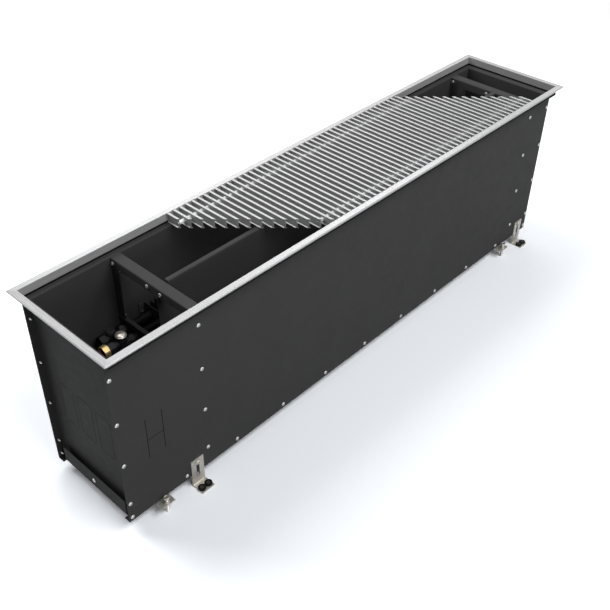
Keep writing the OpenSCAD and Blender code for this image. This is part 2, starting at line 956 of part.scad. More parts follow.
// The tubes at a given diameter, so that the same shape gives the outside and the bore
module tube_run(d, more) {
    left = plate_left - bend_stub;
    right = plate_right + bend_stub;
    for (c = [0 : tube_cols - 1], r = [0 : tube_rows - 1]) {
        start = r == 1 && c == 1 ? supply_end_x - more : r == 1 && c == 2 ? return_end_x - more : left;
        translate([start, col_y(c), row_z(r)])
            to_x(1)
                cylinder(d = d, h = right - start);
    }
    for (b = right_bends)
        translate([right, 0, 0])
            u_bend(b, d, 1);
    for (b = left_bends)
        translate([left, 0, 0])
            u_bend(b, d, -1);
}

// Half a ring between the two tubes of a bend, bulging to the left or to the right
module u_bend(pair, d, side) {
    y0 = (col_y(pair[0][0]) + col_y(pair[1][0])) / 2;
    z0 = (row_z(pair[0][1]) + row_z(pair[1][1])) / 2;
    upright = pair[0][0] == pair[1][0];
    translate([0, y0, z0])
        rotate([upright ? 90 : 0, 0, 0])
            rotate([0, 0, -side * 90])
                rotate_extrude(angle = 180)
                    translate([tube_pitch / 2, 0])
                        circle(d = d);
}

module exchanger_tubes() {
    color([0.16, 0.16, 0.17])
        difference() {
            tube_run(tube_d, 0);
            tube_run(tube_d - 2 * tube_wall, over);
        }
}

// An end plate of the exchanger: folded along the rear panel and along the partition
module exchanger_plate(x0, side) {
    front = partition_y + sheet + plate_side_gap;
    rear = wall_in - plate_side_gap;
    path = [
        [x0 + side * plate_flange_w, front + half_sheet],
        [x0 + side * half_sheet, front + half_sheet],
        [x0 + side * half_sheet, rear - half_sheet],
        [x0 + side * plate_flange_w, rear - half_sheet]];
    color([0.22, 0.22, 0.23])
        difference() {
            translate([0, 0, fin_bottom + seat_gap])
                linear_extrude(fin_top - fin_bottom + plate_over)
                    folded(path, sheet, fold_r);
            for (c = [0 : tube_cols - 1], r = [0 : tube_rows - 1])
                translate([x0 - side * over, col_y(c), row_z(r)])
                    to_x(side)
                        cylinder(d = tube_d + 4 * fin_hole_gap, h = sheet + 2 * over);
            for (z = plate_rivet_z, y = [front - over, rear - sheet - over])
                translate([x0 + side * plate_flange_w / 2, y, z])
                    to_y(1)
                        cylinder(d = rivet_d + 2 * hole_gap, h = sheet + 2 * over);
        }
}

module left_exchanger_plate() {
    exchanger_plate(plate_left, -1);
}

module right_exchanger_plate() {
    exchanger_plate(plate_right, 1);
}

module exchanger_rivets() {
    grip = 2 * sheet + plate_side_gap + seat_gap;
    color([0.7, 0.7, 0.72])
        for (x = plate_rivet_x, z = plate_rivet_z) {
            translate([x, wall_out, z])
                to_y(1)
                    rivet(grip);
            translate([x, partition_y, z])
                to_y(-1)
                    rivet(grip);
        }
}

// Rubber rings where the two pipes pass through the left portal
module pipe_grommets() {
    hole_d = tube_d + 2 * pipe_hole_gap - 2 * grommet_gap;
    lip_d = hole_d + 4 * grommet_lip;
    bore = tube_d + 2 * grommet_gap;
    color([0.06, 0.06, 0.06])
        for (y = [supply_y, return_y])
            translate([portal_left, y, tube_z])
                to_x(1)
                    rotate_extrude()
                        polygon([[bore / 2, -grommet_lip], [lip_d / 2, -grommet_lip],
                            [lip_d / 2, -grommet_gap], [hole_d / 2, -grommet_gap],
                            [hole_d / 2, sheet + grommet_gap], [lip_d / 2, sheet + grommet_gap],
                            [lip_d / 2, sheet + grommet_lip], [bore / 2, sheet + grommet_lip]]);
}

// Water connections

return_end_x = return_body_x + return_body_l;

module supply_valve_body() {
    collar_x = union_x + union_bore_l - union_collar_t - seat_gap;
    neck_x = union_x + union_l + seat_gap;
    color([0.22, 0.22, 0.24])
        difference() {
            union() {
                translate([collar_x, supply_y, union_z])
                    to_x(1)
                        cylinder(d = union_bore - move_gap, h = union_collar_t);
                translate([collar_x, supply_y, union_z])
                    to_x(1)
                        cylinder(d = union_neck_d, h = vent_x - body_d / 2 + neck_reach - collar_x);
                translate([neck_x, supply_y, union_z])
                    to_x(1)
                        hex_bar(neck_af, neck_l);
                translate([vent_x, supply_y, tube_z - body_d / 2])
                    cylinder(d = body_d, h = body_d / 2 + body_top);
                translate([vent_x, supply_y, tube_z])
                    cylinder(d = vent_stem_d, h = vent_seat);
                translate([vent_x, supply_y, tube_z])
                    to_x(1)
                        cylinder(d = body_d, h = supply_end_x - vent_x);
            }
            translate([collar_x - over, supply_y, union_z])
                to_x(1)
                    cylinder(d = water_d, h = vent_x - collar_x + over);
            translate([vent_x, supply_y, tube_z])
                cylinder(d = water_d, h = union_rise);
            translate([vent_x, supply_y, tube_z])
                to_x(1)
                    cylinder(d = water_d, h = supply_end_x - vent_x + over);
        }
}

module supply_union_nut() {
    color([0.78, 0.62, 0.27])
        translate([union_x, supply_y, union_z])
            to_x(1)
                difference() {
                    hex_bar(union_af, union_l);
                    translate([0, 0, -over])
                        cylinder(d = union_bore, h = union_thread_l + 2 * over);
                    translate([0, 0, union_thread_l])
                        cylinder(d = union_recess_d, h = union_bore_l - union_thread_l);
                    cylinder(d = union_neck_d + 2 * run_gap, h = union_l + over);
                }
}

// The flat seal that lies on the body's collar, inside the nut
module union_seal_ring() {
    seal_x = union_x + union_bore_l - union_collar_t - union_seal_t - 2 * seat_gap;
    color([0.1, 0.1, 0.1])
        translate([seal_x, supply_y, union_z])
            to_x(1)
                tube(union_bore - 4 * move_gap, seal_bore, union_seal_t);
}

// The hexagon nut that clamps a pipe in the end of a valve body
module pipe_nut(x, y) {
    color([0.2, 0.2, 0.22])
        translate([x + seat_gap, y, tube_z])
            to_x(1)
                difference() {
                    hex_bar(pipe_nut_af, pipe_nut_l);
                    translate([0, 0, -over])
                        cylinder(d = tube_d + 2 * fin_hole_gap, h = pipe_nut_l + 2 * over);
                }
}

module supply_pipe_nut() {
    pipe_nut(supply_end_x, supply_y);
}

module return_pipe_nut() {
    pipe_nut(return_end_x, return_y);
}

vent_z = tube_z + vent_seat + seat_gap;

module air_vent() {
    rise = vent_h - vent_edge_h;
    dome = [for (a = [0 : 15 : 90]) [vent_d / 2 * cos(a), vent_edge_h + rise * sin(a)]];
    color([0.85, 0.83, 0.8])
        translate([vent_x, supply_y, vent_z])
            difference() {
                rotate_extrude()
                    polygon(concat([[0, 0], [vent_d / 2 - vent_bevel, 0], [vent_d / 2, vent_bevel]], dome));
                translate([0, 0, vent_h - vent_screw_h])
                    cylinder(d = vent_screw_d + 2 * run_gap, h = vent_screw_h + over);
            }
}

module air_vent_screw() {
    color([0.8, 0.78, 0.74])
        translate([vent_x, supply_y, vent_z + vent_h - vent_screw_h])
            difference() {
                translate([0, 0, move_gap])
                    cylinder(d = vent_screw_d, h = vent_screw_h);
                translate([-vent_screw_d, -vent_slot_w / 2, vent_screw_h + move_gap - vent_slot_h])
                    cube([2 * vent_screw_d, vent_slot_w, vent_slot_h + over]);
            }
}

module return_valve_body() {
    open_end = return_body_x - cap_d / 2 - return_cap_clear - return_hex_l;
    color([0.22, 0.22, 0.24])
        difference() {
            union() {
                translate([open_end, return_y, tube_z])
                    to_x(1)
                        hex_bar(return_af, return_hex_l);
                translate([open_end + return_hex_l - neck_reach, return_y, tube_z])
                    to_x(1)
                        cylinder(d = return_body_d, h = return_end_x - open_end - return_hex_l + neck_reach);
                translate([return_body_x, return_y, tube_z])
                    cylinder(d = return_boss_d, h = return_seat);
                translate([return_body_x, return_y, tube_z + return_seat])
                    cylinder(d = return_spindle_d, h = return_spindle_h);
            }
            translate([open_end - over, return_y, tube_z])
                to_x(1)
                    cylinder(d = return_open_d, h = return_open_l + over);
            translate([open_end, return_y, tube_z])
                to_x(1)
                    cylinder(d = water_d, h = return_end_x - open_end + over);
        }
}

module return_valve_cap() {
    round_pts = [for (a = [0 : 30 : 90])
        [cap_d / 2 - return_cap_round * (1 - cos(a)), return_cap_h - return_cap_round * (1 - sin(a))]];
    bore = return_spindle_d + 2 * run_gap;
    color([0.12, 0.12, 0.13])
        translate([return_body_x, return_y, tube_z + return_seat + move_gap])
            rotate_extrude()
                polygon(concat([[bore / 2, 0], [cap_d / 2, 0]], round_pts,
                    [[0, return_cap_h], [0, return_spindle_h + return_cap_wall],
                     [bore / 2, return_spindle_h + return_cap_wall]]));
}

// Grille

// Half of a slat's section, from the middle of its top round to the middle of its bottom
module slat_section() {
    half_w = slat_w / 2;
    half_web = slat_web / 2;
    half_h = frame_h / 2;
    nip = slat_round * (1 - cos(45));
    quarter = [
        [half_w - slat_round, half_h], [half_w - nip, half_h - nip],
        [half_w, half_h - slat_round], [half_w, half_h - slat_flange_t],
        [half_web, half_h - slat_flange_t - slat_taper]];
    right = concat(quarter, [for (i = [len(quarter) - 1 : -1 : 0]) [quarter[i].x, -quarter[i].y]]);
    polygon(concat(right, [for (i = [len(right) - 1 : -1 : 0]) [-right[i].x, right[i].y]]));
}

function slat_x(k) = slat_first + k * slat_pitch;

// Where the left and the right cut cross a slat, as far as they do
function cut_low(x) = (cut_left_x - x) / cut_slope_share;
function cut_high(x) = (cut_right_x - x) / cut_slope_share;
function is_cut(x) = cut_low(x - slat_w) > -slat_half_y || cut_high(x + slat_w) < slat_half_y;

// True where a rod at y passes a slat at x between the two cuts
function on_rod(x, y) = y > cut_low(x) + stub_margin / 2 && y < cut_high(x) - stub_margin / 2;

module cut_plan() {
    far = slat_half_y + over;
    slope = cut_slope_share * far;
    polygon([[cut_left_x + slope, -far], [cut_right_x + slope, -far],
        [cut_right_x - slope, far], [cut_left_x - slope, far]]);
}

module slat(x) {
    mid_z = z_slat + frame_h / 2;
    difference() {
        intersection() {
            translate([x, 0, mid_z])
                along_y(-slat_half_y, slat_half_y)
                    slat_section();
            if (is_cut(x))
                translate([0, 0, z_slat - over])
                    linear_extrude(frame_h + 2 * over)
                        cut_plan();
        }
        for (y = [-link_y, link_y])
            if (on_rod(x, y))
                translate([x - slat_web, y, mid_z])
                    to_x(1)
                        cylinder(d = link_d + 2 * link_hole_gap, h = 2 * slat_web);
    }
}

module grille_slats() {
    color([0.8, 0.81, 0.82])
        for (k = [0 : slat_count - 1])
            slat(slat_x(k));
}

module grille_spacers() {
    spacer_l = slat_pitch - slat_web - 2 * seat_gap;
    color([0.83, 0.84, 0.85])
        for (y = [-link_y, link_y], k = [0 : slat_count - 2])
            if (on_rod(slat_x(k), y) && on_rod(slat_x(k + 1), y))
                translate([slat_x(k) + slat_web / 2 + seat_gap, y, z_slat + frame_h / 2])
                    to_x(1)
                        tube(spacer_d, link_d + 2 * spacer_bore_gap, spacer_l);
}

module grille_link_rods() {
    color([0.6, 0.61, 0.63])
        for (y = [-link_y, link_y]) {
            xs = [for (k = [0 : slat_count - 1]) if (on_rod(slat_x(k), y)) slat_x(k)];
            translate([xs[0] - slat_web / 2 - link_end, y, z_slat + frame_h / 2])
                to_x(1)
                    cylinder(d = link_d, h = xs[len(xs) - 1] - xs[0] + slat_web + 2 * link_end);
        }
}

// Feet

// The centres of the round ends of a foot bracket's slot
slot_low_z = foot_slot_low + slot_w / 2;
slot_high_z = foot_screw_z + foot_slot_room;

module foot_bracket(spot) {
    side = spot[1];
    face = wall_out + move_gap;
    path = [
        [side * (wall_out + foot_reach), foot_t / 2],
        [side * (face + foot_t / 2), foot_t / 2],
        [side * (face + foot_t / 2), foot_h]];
    color([0.72, 0.71, 0.69])
        difference() {
            along_x(spot[0] - foot_w / 2, spot[0] + foot_w / 2)
                folded(path, foot_t, foot_fold_r);
            for (z = [slot_low_z, slot_high_z])
                translate([spot[0], side * (face - over), z])
                    to_y(side)
                        cylinder(d = slot_w, h = foot_t + 2 * over);
            translate([spot[0] - slot_w / 2, side * (face + foot_t / 2) - foot_t / 2 - over, slot_low_z])
                cube([slot_w, foot_t + 2 * over, slot_high_z - slot_low_z]);
            for (dx = [-1, 1])
                translate([spot[0] + dx * bush_pitch / 2, side * (wall_out + bush_y), -over])
                    cylinder(d = bush_neck_d + 2 * seat_gap, h = foot_t + 2 * over);
        }
}

module foot_bushes(spot) {
    low = bush_lift;
    high = foot_t + seat_gap;
    top = high + bush_head_h;
    color([0.05, 0.05, 0.05])
        for (dx = [-1, 1])
            translate([spot[0] + dx * bush_pitch / 2, spot[1] * (wall_out + bush_y), 0])
                rotate_extrude()
                    polygon([[sleeve_d / 2 + seat_gap, low], [bush_neck_d / 2, low], [bush_neck_d / 2, high],
                        [bush_d / 2, high], [bush_d / 2, top - bush_bevel], [bush_d / 2 - bush_bevel, top],
                        [sleeve_d / 2 + seat_gap, top]]);
}

module foot_sleeves(spot) {
    color([0.5, 0.5, 0.52])
        for (dx = [-1, 1])
            translate([spot[0] + dx * bush_pitch / 2, spot[1] * (wall_out + bush_y), bush_lift])
                tube(sleeve_d, sleeve_bore, foot_t + bush_head_h);
}

module levelling_bolt(spot) {
    head_z = z_bottom + bolt_head_low;
    color([0.78, 0.77, 0.75])
        translate([spot[0], spot[1] * (wall_out + bolt_out), 0]) {
            rotate_extrude()
                polygon([[0, 0], [bolt_d / 2 - bolt_tip, 0], [bolt_d / 2, bolt_tip],
                    [bolt_d / 2, head_z], [0, head_z]]);
            translate([0, 0, head_z])
                hex_bar(bolt_head_af, bolt_head_h);
        }
}

module levelling_bolt_front_left() {
    levelling_bolt([bolt_left, -1]);
}

module levelling_bolt_front_right() {
    levelling_bolt([bolt_right, -1]);
}

module levelling_bolt_rear_left() {
    levelling_bolt([bolt_left, 1]);
}

module levelling_bolt_rear_right() {
    levelling_bolt([bolt_right, 1]);
}

module levelling_tabs() {
    color([0.55, 0.54, 0.52])
        for (b = bolt_spots)
            translate([b[0], 0, z_bottom - tab_t])
                mirror([0, b[1] < 0 ? 1 : 0, 0])
                    difference() {
                        translate([-tab_w / 2, wall_out - bottom_flange_w, 0])
                            cube([tab_w, bottom_flange_w + tab_out, tab_t]);
                        translate([0, wall_out + bolt_out, -over])
                            cylinder(d = bolt_d + 2 * run_gap, h = tab_t + 2 * over);
                        translate([0, tab_rivet_y, -over])
                            cylinder(d = rivet_d + 2 * hole_gap, h = tab_t + 2 * over);
                    }
}

module levelling_lock_nuts() {
    color([0.74, 0.73, 0.71])
        for (b = bolt_spots)
            translate([b[0], b[1] * (wall_out + bolt_out), z_bottom + seat_gap])
                difference() {
                    hex_bar(bolt_head_af, lock_nut_h);
                    translate([0, 0, -over])
                        cylinder(d = bolt_d + 2 * run_gap, h = lock_nut_h + 2 * over);
                }
}

module tab_rivets() {
    color([0.7, 0.7, 0.72])
        for (b = bolt_spots)
            translate([b[0], b[1] * tab_rivet_y, z_bottom - tab_t])
                rotate([180, 0, 0])
                    rivet(tab_t + 2 * sheet + seat_gap);
}

module foot_bracket_front_left() {
    foot_bracket([foot_left, -1]);
}

module foot_bracket_front_right() {
    foot_bracket([foot_right, -1]);
}

module foot_bracket_rear_left() {
    foot_bracket([foot_left, 1]);
}

module foot_bracket_rear_right() {
    foot_bracket([foot_right, 1]);
}

module foot_bushes_front_left() {
    foot_bushes([foot_left, -1]);
}

module foot_bushes_front_right() {
    foot_bushes([foot_right, -1]);
}

module foot_bushes_rear_left() {
    foot_bushes([foot_left, 1]);
}

module foot_bushes_rear_right() {
    foot_bushes([foot_right, 1]);
}

module foot_sleeves_front_left() {
    foot_sleeves([foot_left, -1]);
}

module foot_sleeves_front_right() {
    foot_sleeves([foot_right, -1]);
}

module foot_sleeves_rear_left() {
    foot_sleeves([foot_left, 1]);
}

module foot_sleeves_rear_right() {
    foot_sleeves([foot_right, 1]);
}

// Where the washer, the screw head and the rivet nut of a foot bracket lie, from its side panel
washer_out = move_gap + foot_t + move_gap;

module foot_screws() {
    color([0.8, 0.8, 0.8])
        for (f = foot_spots)
            translate([f[0], f[1] * (wall_out + washer_out + washer_t), foot_screw_z])
                to_y(f[1])
                    pan_screw(foot_screw_head_d, foot_screw_head_h, screw_edge_h, foot_screw_d, foot_screw_l,
                        screw_edge_h);
}

module foot_washers() {
    color([0.75, 0.75, 0.75])
        for (f = foot_spots)
            translate([f[0], f[1] * (wall_out + washer_out), foot_screw_z])
                to_y(f[1])
                    tube(washer_d, foot_screw_d + 2 * seat_gap, washer_t);
}

module foot_rivet_nuts() {
    color([0.65, 0.65, 0.66])
        for (f = foot_spots)
            translate([f[0], f[1] * (wall_out - sheet), foot_screw_z])
                to_y(-f[1])
                    difference() {
                        union() {
                            cylinder(d = nut_flange_d, h = nut_flange_t);
                            translate([0, 0, -sheet])
                                cylinder(d = nut_body_d, h = nut_body_l);
                        }
                        translate([0, 0, -sheet - over])
                            cylinder(d = foot_screw_d + 2 * seat_gap, h = nut_body_l + 2 * over);
                    }
}

// Fasteners

module casing_screw() {
    pan_screw(screw_head_d, screw_head_h, screw_edge_h, screw_d, screw_l, screw_tip);
}

// Screws whose heads point along +Z; the spots are [x, height] once the row is turned upright
module screw_row(spots, side) {
    for (s = spots)
        translate([s[0], -side * s[1], 0])
            casing_screw();
}

module casing_screws() {
    color([0.9, 0.9, 0.9])
        for (side = [-1, 1])
            translate([0, side * wall_out, 0])
                to_y(side) {
                    screw_row(bottom_spots, side);
                    for (x = column_x)
                        screw_row(column_spots(x), side);
                }
}

module portal_screws() {
    color([0.9, 0.9, 0.9])
        for (x = [portal_left, portal_right], y = portal_screw_y)
            translate([x, y, z_portal_screw])
                to_x(-1)
                    casing_screw();
}

module base_screws() {
    color([0.8, 0.8, 0.8])
        for (side = [-1, 1])
            translate([side * strip_x, 0, z_bottom + base_screw_h])
                to_x(side)
                    casing_screw();
}

front_side_panel();
rear_side_panel();
left_end_panel();
right_end_panel();
base_pan();
front_frame_rail();
rear_frame_rail();
left_frame_rail();
right_frame_rail();
frame_corner_keys();
frame_gasket();
left_portal();
right_portal();
left_portal_channel();
right_portal_channel();
partition_plate();
exchanger_fins();
exchanger_tubes();
left_exchanger_plate();
right_exchanger_plate();
exchanger_rivets();
partition_rivets();
pipe_grommets();
supply_valve_body();
supply_union_nut();
union_seal_ring();
supply_pipe_nut();
air_vent();
air_vent_screw();
return_valve_body();
return_pipe_nut();
return_valve_cap();
grille_slats();
grille_spacers();
grille_link_rods();
levelling_tabs();
levelling_lock_nuts();
tab_rivets();
levelling_bolt_front_left();
levelling_bolt_front_right();
levelling_bolt_rear_left();
levelling_bolt_rear_right();
foot_bracket_front_left();
foot_bracket_front_right();
foot_bracket_rear_left();
foot_bracket_rear_right();
foot_bushes_front_left();
foot_bushes_front_right();
foot_bushes_rear_left();
foot_bushes_rear_right();
foot_sleeves_front_left();
foot_sleeves_front_right();
foot_sleeves_rear_left();
foot_sleeves_rear_right();
foot_screws();
foot_washers();
foot_rivet_nuts();
casing_screws();
portal_screws();
base_screws();
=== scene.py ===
"""Looks of a trench convector heater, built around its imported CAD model. Lengths are in metres."""

import json
import math

import bmesh
import bpy
from mathutils import Matrix, Vector

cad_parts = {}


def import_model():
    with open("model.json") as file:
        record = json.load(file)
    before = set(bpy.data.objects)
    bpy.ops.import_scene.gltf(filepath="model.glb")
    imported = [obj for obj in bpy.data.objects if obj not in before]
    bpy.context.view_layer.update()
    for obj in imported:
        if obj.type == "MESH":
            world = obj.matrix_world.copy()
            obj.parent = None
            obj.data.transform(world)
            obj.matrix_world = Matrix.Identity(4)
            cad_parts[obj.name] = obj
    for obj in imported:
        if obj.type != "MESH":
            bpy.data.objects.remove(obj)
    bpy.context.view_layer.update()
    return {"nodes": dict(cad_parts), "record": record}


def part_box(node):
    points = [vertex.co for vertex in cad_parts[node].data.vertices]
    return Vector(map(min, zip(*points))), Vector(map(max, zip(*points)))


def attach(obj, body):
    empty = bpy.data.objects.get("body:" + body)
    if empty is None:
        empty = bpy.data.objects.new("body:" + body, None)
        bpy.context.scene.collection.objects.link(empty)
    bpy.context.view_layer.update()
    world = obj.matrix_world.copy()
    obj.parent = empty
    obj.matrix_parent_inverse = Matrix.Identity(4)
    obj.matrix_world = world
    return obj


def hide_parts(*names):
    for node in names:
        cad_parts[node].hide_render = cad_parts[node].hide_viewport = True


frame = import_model()

NODES = frame["nodes"]
RECORD_SLOTS = {s["node"]: s["material_slot"] for s in frame["record"]["subparts"]}
CORNERS = ("front_left", "front_right", "rear_left", "rear_right")
MM = 0.001
SAME_PLACE = 0.001 * MM
WHITE = (1.0, 1.0, 1.0)
X_AXIS, Y_AXIS, Z_AXIS = 0, 1, 2
TO_THE_RIGHT = (1, 0, 0)
UP = (0, 0, 1)

# The camera, solved from the photograph's straight edges, screw rows and slats
PHOTO_PX = 610
FOCAL_PX = 871.87
CENTRE_PX = (282.71, 293.87)
SENSOR_MM = 36
CAMERA_AT = (-1.1535, -0.9776, 1.3120)
CAMERA_FORWARD = (0.56261, 0.54478, -0.62183)
CAMERA_RIGHT = (0.69434, -0.71964, -0.00225)
CAMERA_REACH = 60

# The floor: the grey that light bounces off, the paler one that is seen, and where it turns white
FLOOR_HALF = 12
FLOOR_COLOR = (0.4, 0.4, 0.4)
FLOOR_SHOWN = (1.33, 1.37, 1.43)
FLOOR_FADE = (1.3, 2.4)

# The faint light that comes evenly from all round
SKY_STRENGTH = 0.05

# Soft lamps above and low in front, at both ends, and behind: name, place, aim, width and height,
# and watts. The last one is what the frame rails mirror.
LOW_AIM = (0, 0, 0.2)
LAMPS = (
    ("over", (0.3, -1.7, 2.8), LOW_AIM, (2.6, 1.4), 60),
    ("front_low", (-0.5, -3.0, 0.9), (-0.1, 0, 0.2), (1.8, 1.0), 18),
    ("left_end", (-3.2, 0.6, 0.9), (-0.65, 0, 0.2), (1.0, 1.0), 2),
    ("right_end", (3.2, 0.6, 0.9), (0.65, 0, 0.2), (1.0, 1.0), 4),
    ("key_low", (-1.3, 2.5, 2.35), LOW_AIM, (1.9, 1.6), 49),
    ("key_high", (-0.3, 1.5, 3.4), LOW_AIM, (1.8, 1.4), 39),
    ("mirrored", (1.5, 1.8, 2.1), (0, 0, 0.42), (2.4, 0.5), 17),
)


# Small helpers for node trees

# The values that most of a noise lies between
NOISE_LOW = 0.3
NOISE_HIGH = 0.7


class Shader:
    """A material with one Principled shader, and short calls that add nodes to it."""

    def __init__(self, name, color, roughness, metallic=0.0, specular=0.5):
        self.material = bpy.data.materials.new(name)
        self.material.use_nodes = True
        self.tree = self.material.node_tree
        self.shader = self.tree.nodes["Principled BSDF"]
        self.shader.inputs["Base Color"].default_value = (*color, 1)
        self.shader.inputs["Roughness"].default_value = roughness
        self.shader.inputs["Metallic"].default_value = metallic
        self.shader.inputs["Specular IOR Level"].default_value = specular
        self.color = color
        self.roughness = roughness
        self.place = self.tree.nodes.new("ShaderNodeTexCoord").outputs["Object"]
        self.bump_from = None

    def link(self, output, target):
        self.tree.links.new(output, target)

    def stretched(self, factors):
        """Object coordinates, multiplied along each axis."""
        mapping = self.tree.nodes.new("ShaderNodeMapping")
        mapping.inputs["Scale"].default_value = factors
        self.link(self.place, mapping.inputs["Vector"])
        return mapping.outputs["Vector"]

    def noise(self, scale, detail, vector=None):
        node = self.tree.nodes.new("ShaderNodeTexNoise")
        node.inputs["Scale"].default_value = scale
        node.inputs["Detail"].default_value = detail
        self.link(vector or self.place, node.inputs["Vector"])
        return node.outputs["Fac"]

    def spread(self, value, low, high, start=NOISE_LOW, end=NOISE_HIGH):
        """Value from start to end turned into low to high."""
        node = self.tree.nodes.new("ShaderNodeMapRange")
        node.inputs["From Min"].default_value = start
        node.inputs["From Max"].default_value = end
        node.inputs["To Min"].default_value = low
        node.inputs["To Max"].default_value = high
        self.link(value, node.inputs["Value"])
        return node.outputs["Result"]

    def mix_colors(self, value, first, second):
        node = self.tree.nodes.new("ShaderNodeMix")
        node.data_type = "RGBA"
        node.inputs["A"].default_value = (*first, 1)
        node.inputs["B"].default_value = (*second, 1)
        self.link(value, node.inputs["Factor"])
        return node.outputs["Result"]

    def vary_color(self, value, amount):
        """The base colour, a little darker to lighter by amount, as value goes from 0 to 1."""
        dark = [c * (1 - amount) for c in self.color]
        light = [min(1, c * (1 + amount)) for c in self.color]
        self.link(self.mix_colors(value, dark, light), self.shader.inputs["Base Color"])

    def tint(self, value, color):
        """The base colour so far, turned into another one as value goes from 0 to 1."""
        node = self.tree.nodes.new("ShaderNodeMix")
        node.data_type = "RGBA"
        self.link(self.shader.inputs["Base Color"].links[0].from_socket, node.inputs["A"])
        node.inputs["B"].default_value = (*color, 1)
        self.link(value, node.inputs["Factor"])
        self.link(node.outputs["Result"], self.shader.inputs["Base Color"])

    def math(self, operation, first, second=0.0):
        """A math node's result. Each value is a number or another node's output."""
        node = self.tree.nodes.new("ShaderNodeMath")
        node.operation = operation
        for socket, value in zip(node.inputs, (first, second)):
            if isinstance(value, float):
                socket.default_value = value
            else:
                self.link(value, socket)
        return node.outputs[0]

    def stroke(self, across, at, along, low, high, half_width):
        """1 on a straight line from low to high, fading to 0 at half_width from it."""
        parts = self.tree.nodes.new("ShaderNodeSeparateXYZ")
        self.link(self.place, parts.inputs[0])
        off = self.math("ABSOLUTE", self.math("SUBTRACT", parts.outputs[across], at))
        from_middle = self.math("SUBTRACT", parts.outputs[along], (low + high) / 2)
        inside = self.math("LESS_THAN", self.math("ABSOLUTE", from_middle), (high - low) / 2)
        return self.math("MULTIPLY", self.spread(off, 1, 0, start=0, end=half_width), inside)

    def vary_roughness(self, value, amount):
        spread = self.spread(value, self.roughness - amount, self.roughness + amount)
        self.link(spread, self.shader.inputs["Roughness"])

    def bump(self, height, strength, distance):
        """A relief, added to the ones before it."""
        node = self.tree.nodes.new("ShaderNodeBump")
        node.inputs["Strength"].default_value = strength
        node.inputs["Distance"].default_value = distance
        self.link(height, node.inputs["Height"])
        if self.bump_from:
            self.link(self.bump_from, node.inputs["Normal"])
        self.bump_from = node.outputs["Normal"]
        self.link(self.bump_from, self.shader.inputs["Normal"])


# Materials

def powder_shader(name, color, roughness):
    """Matt powder coat: a fine orange peel and a faint cloudiness."""
    s = Shader(name, color, roughness, specular=0.04)
    s.vary_color(s.noise(scale=9, detail=3), amount=0.08)
    s.vary_roughness(s.noise(scale=60, detail=2), amount=0.05)
    s.bump(s.noise(scale=1400, detail=2), strength=0.12, distance=0.1 * MM)
    return s


def powder_coat(name, color, roughness):
    return powder_shader(name, color, roughness).material


# The front panel's H-shaped knock-out: how far it is in and up from the panel's lower left corner,
# its width and height, how far up it the bar lies, and the width of its cuts
FLAP_IN = 60 * MM
FLAP_UP = 124 * MM
FLAP_W = 36.5 * MM
FLAP_H = 95 * MM
FLAP_BAR_SHARE = 0.46
FLAP_CUT = 0.9 * MM

# Painted shade along the knock-out's cuts: how far from its middle an upright cut, and the bar's
# cut, darkens the coat, and how dark
UPRIGHT_CUT_SHADE = 1.2 * MM
BAR_CUT_SHADE = 1.3 * MM
CUT_SHADE_COLOR = (0.012, 0.012, 0.012)


def coat_with_painted_cut_shade(name, color, roughness):
    """Powder coat with painted shade along the cuts of the H-shaped knock-out."""
    s = powder_shader(name, color, roughness)
    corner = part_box("front_side_panel")[0]
    left = corner[0] + FLAP_IN
    low = corner[2] + FLAP_UP
    for x in (left + FLAP_CUT / 2, left + FLAP_W - FLAP_CUT / 2):
        s.tint(s.stroke(X_AXIS, x, Z_AXIS, low, low + FLAP_H, UPRIGHT_CUT_SHADE), CUT_SHADE_COLOR)
    bar = low + FLAP_BAR_SHARE * FLAP_H + FLAP_CUT / 2
    s.tint(s.stroke(Z_AXIS, bar, X_AXIS, left, left + FLAP_W, BAR_CUT_SHADE), CUT_SHADE_COLOR)
    return s.material


# How much the noise of a grain is squeezed along it, which draws its spots out to lines
GRAIN_SQUEEZE = 0.012


def drawn_aluminium(name, color, roughness, grain, metallic=0.22):
    """Anodised extrusion: fine lines along the axis of its grain."""
    factors = [1.0, 1.0, 1.0]
    factors[grain] = GRAIN_SQUEEZE
    s = Shader(name, color, roughness, metallic=metallic)
    lines = s.noise(scale=1800, detail=3, vector=s.stretched(factors))
    s.vary_roughness(lines, amount=0.05)
    s.vary_color(s.noise(scale=14, detail=2), amount=0.04)
    s.bump(lines, strength=0.03, distance=0.05 * MM)
    return s.material


def zinc_plate(name, color, roughness, clouded, metallic=0.9):
    """Bright zinc: softly clouded with a second colour."""
    s = Shader(name, color, roughness, metallic=metallic)
    clouds = s.spread(s.noise(scale=60, detail=3), 0, 1)
    s.link(s.mix_colors(clouds, color, clouded), s.shader.inputs["Base Color"])
    s.vary_roughness(s.noise(scale=300, detail=2), amount=0.04)
    s.bump(s.noise(scale=900, detail=2), strength=0.08, distance=0.05 * MM)
    return s.material


def polished_metal(name, color, roughness):
    s = Shader(name, color, roughness, metallic=0.75)
    s.vary_color(s.noise(scale=160, detail=3), amount=0.06)
    s.vary_roughness(s.noise(scale=500, detail=2), amount=0.04)
    s.bump(s.noise(scale=700, detail=2), strength=0.03, distance=0.05 * MM)
    return s.material


def rubber(name, color, roughness):
    s = Shader(name, color, roughness, specular=0.12)
    s.vary_color(s.noise(scale=200, detail=3), amount=0.25)
    s.vary_roughness(s.noise(scale=300, detail=2), amount=0.08)
    s.bump(s.noise(scale=1600, detail=2), strength=0.2, distance=0.05 * MM)
    return s.material


def moulded_plastic(name, color, roughness):
    s = Shader(name, color, roughness, specular=0.2)
    s.vary_color(s.noise(scale=120, detail=2), amount=0.1)
    s.vary_roughness(s.noise(scale=300, detail=2), amount=0.06)
    s.bump(s.noise(scale=1200, detail=2), strength=0.15, distance=0.05 * MM)
    return s.material


CASING_BLACK = (0.057, 0.057, 0.057)

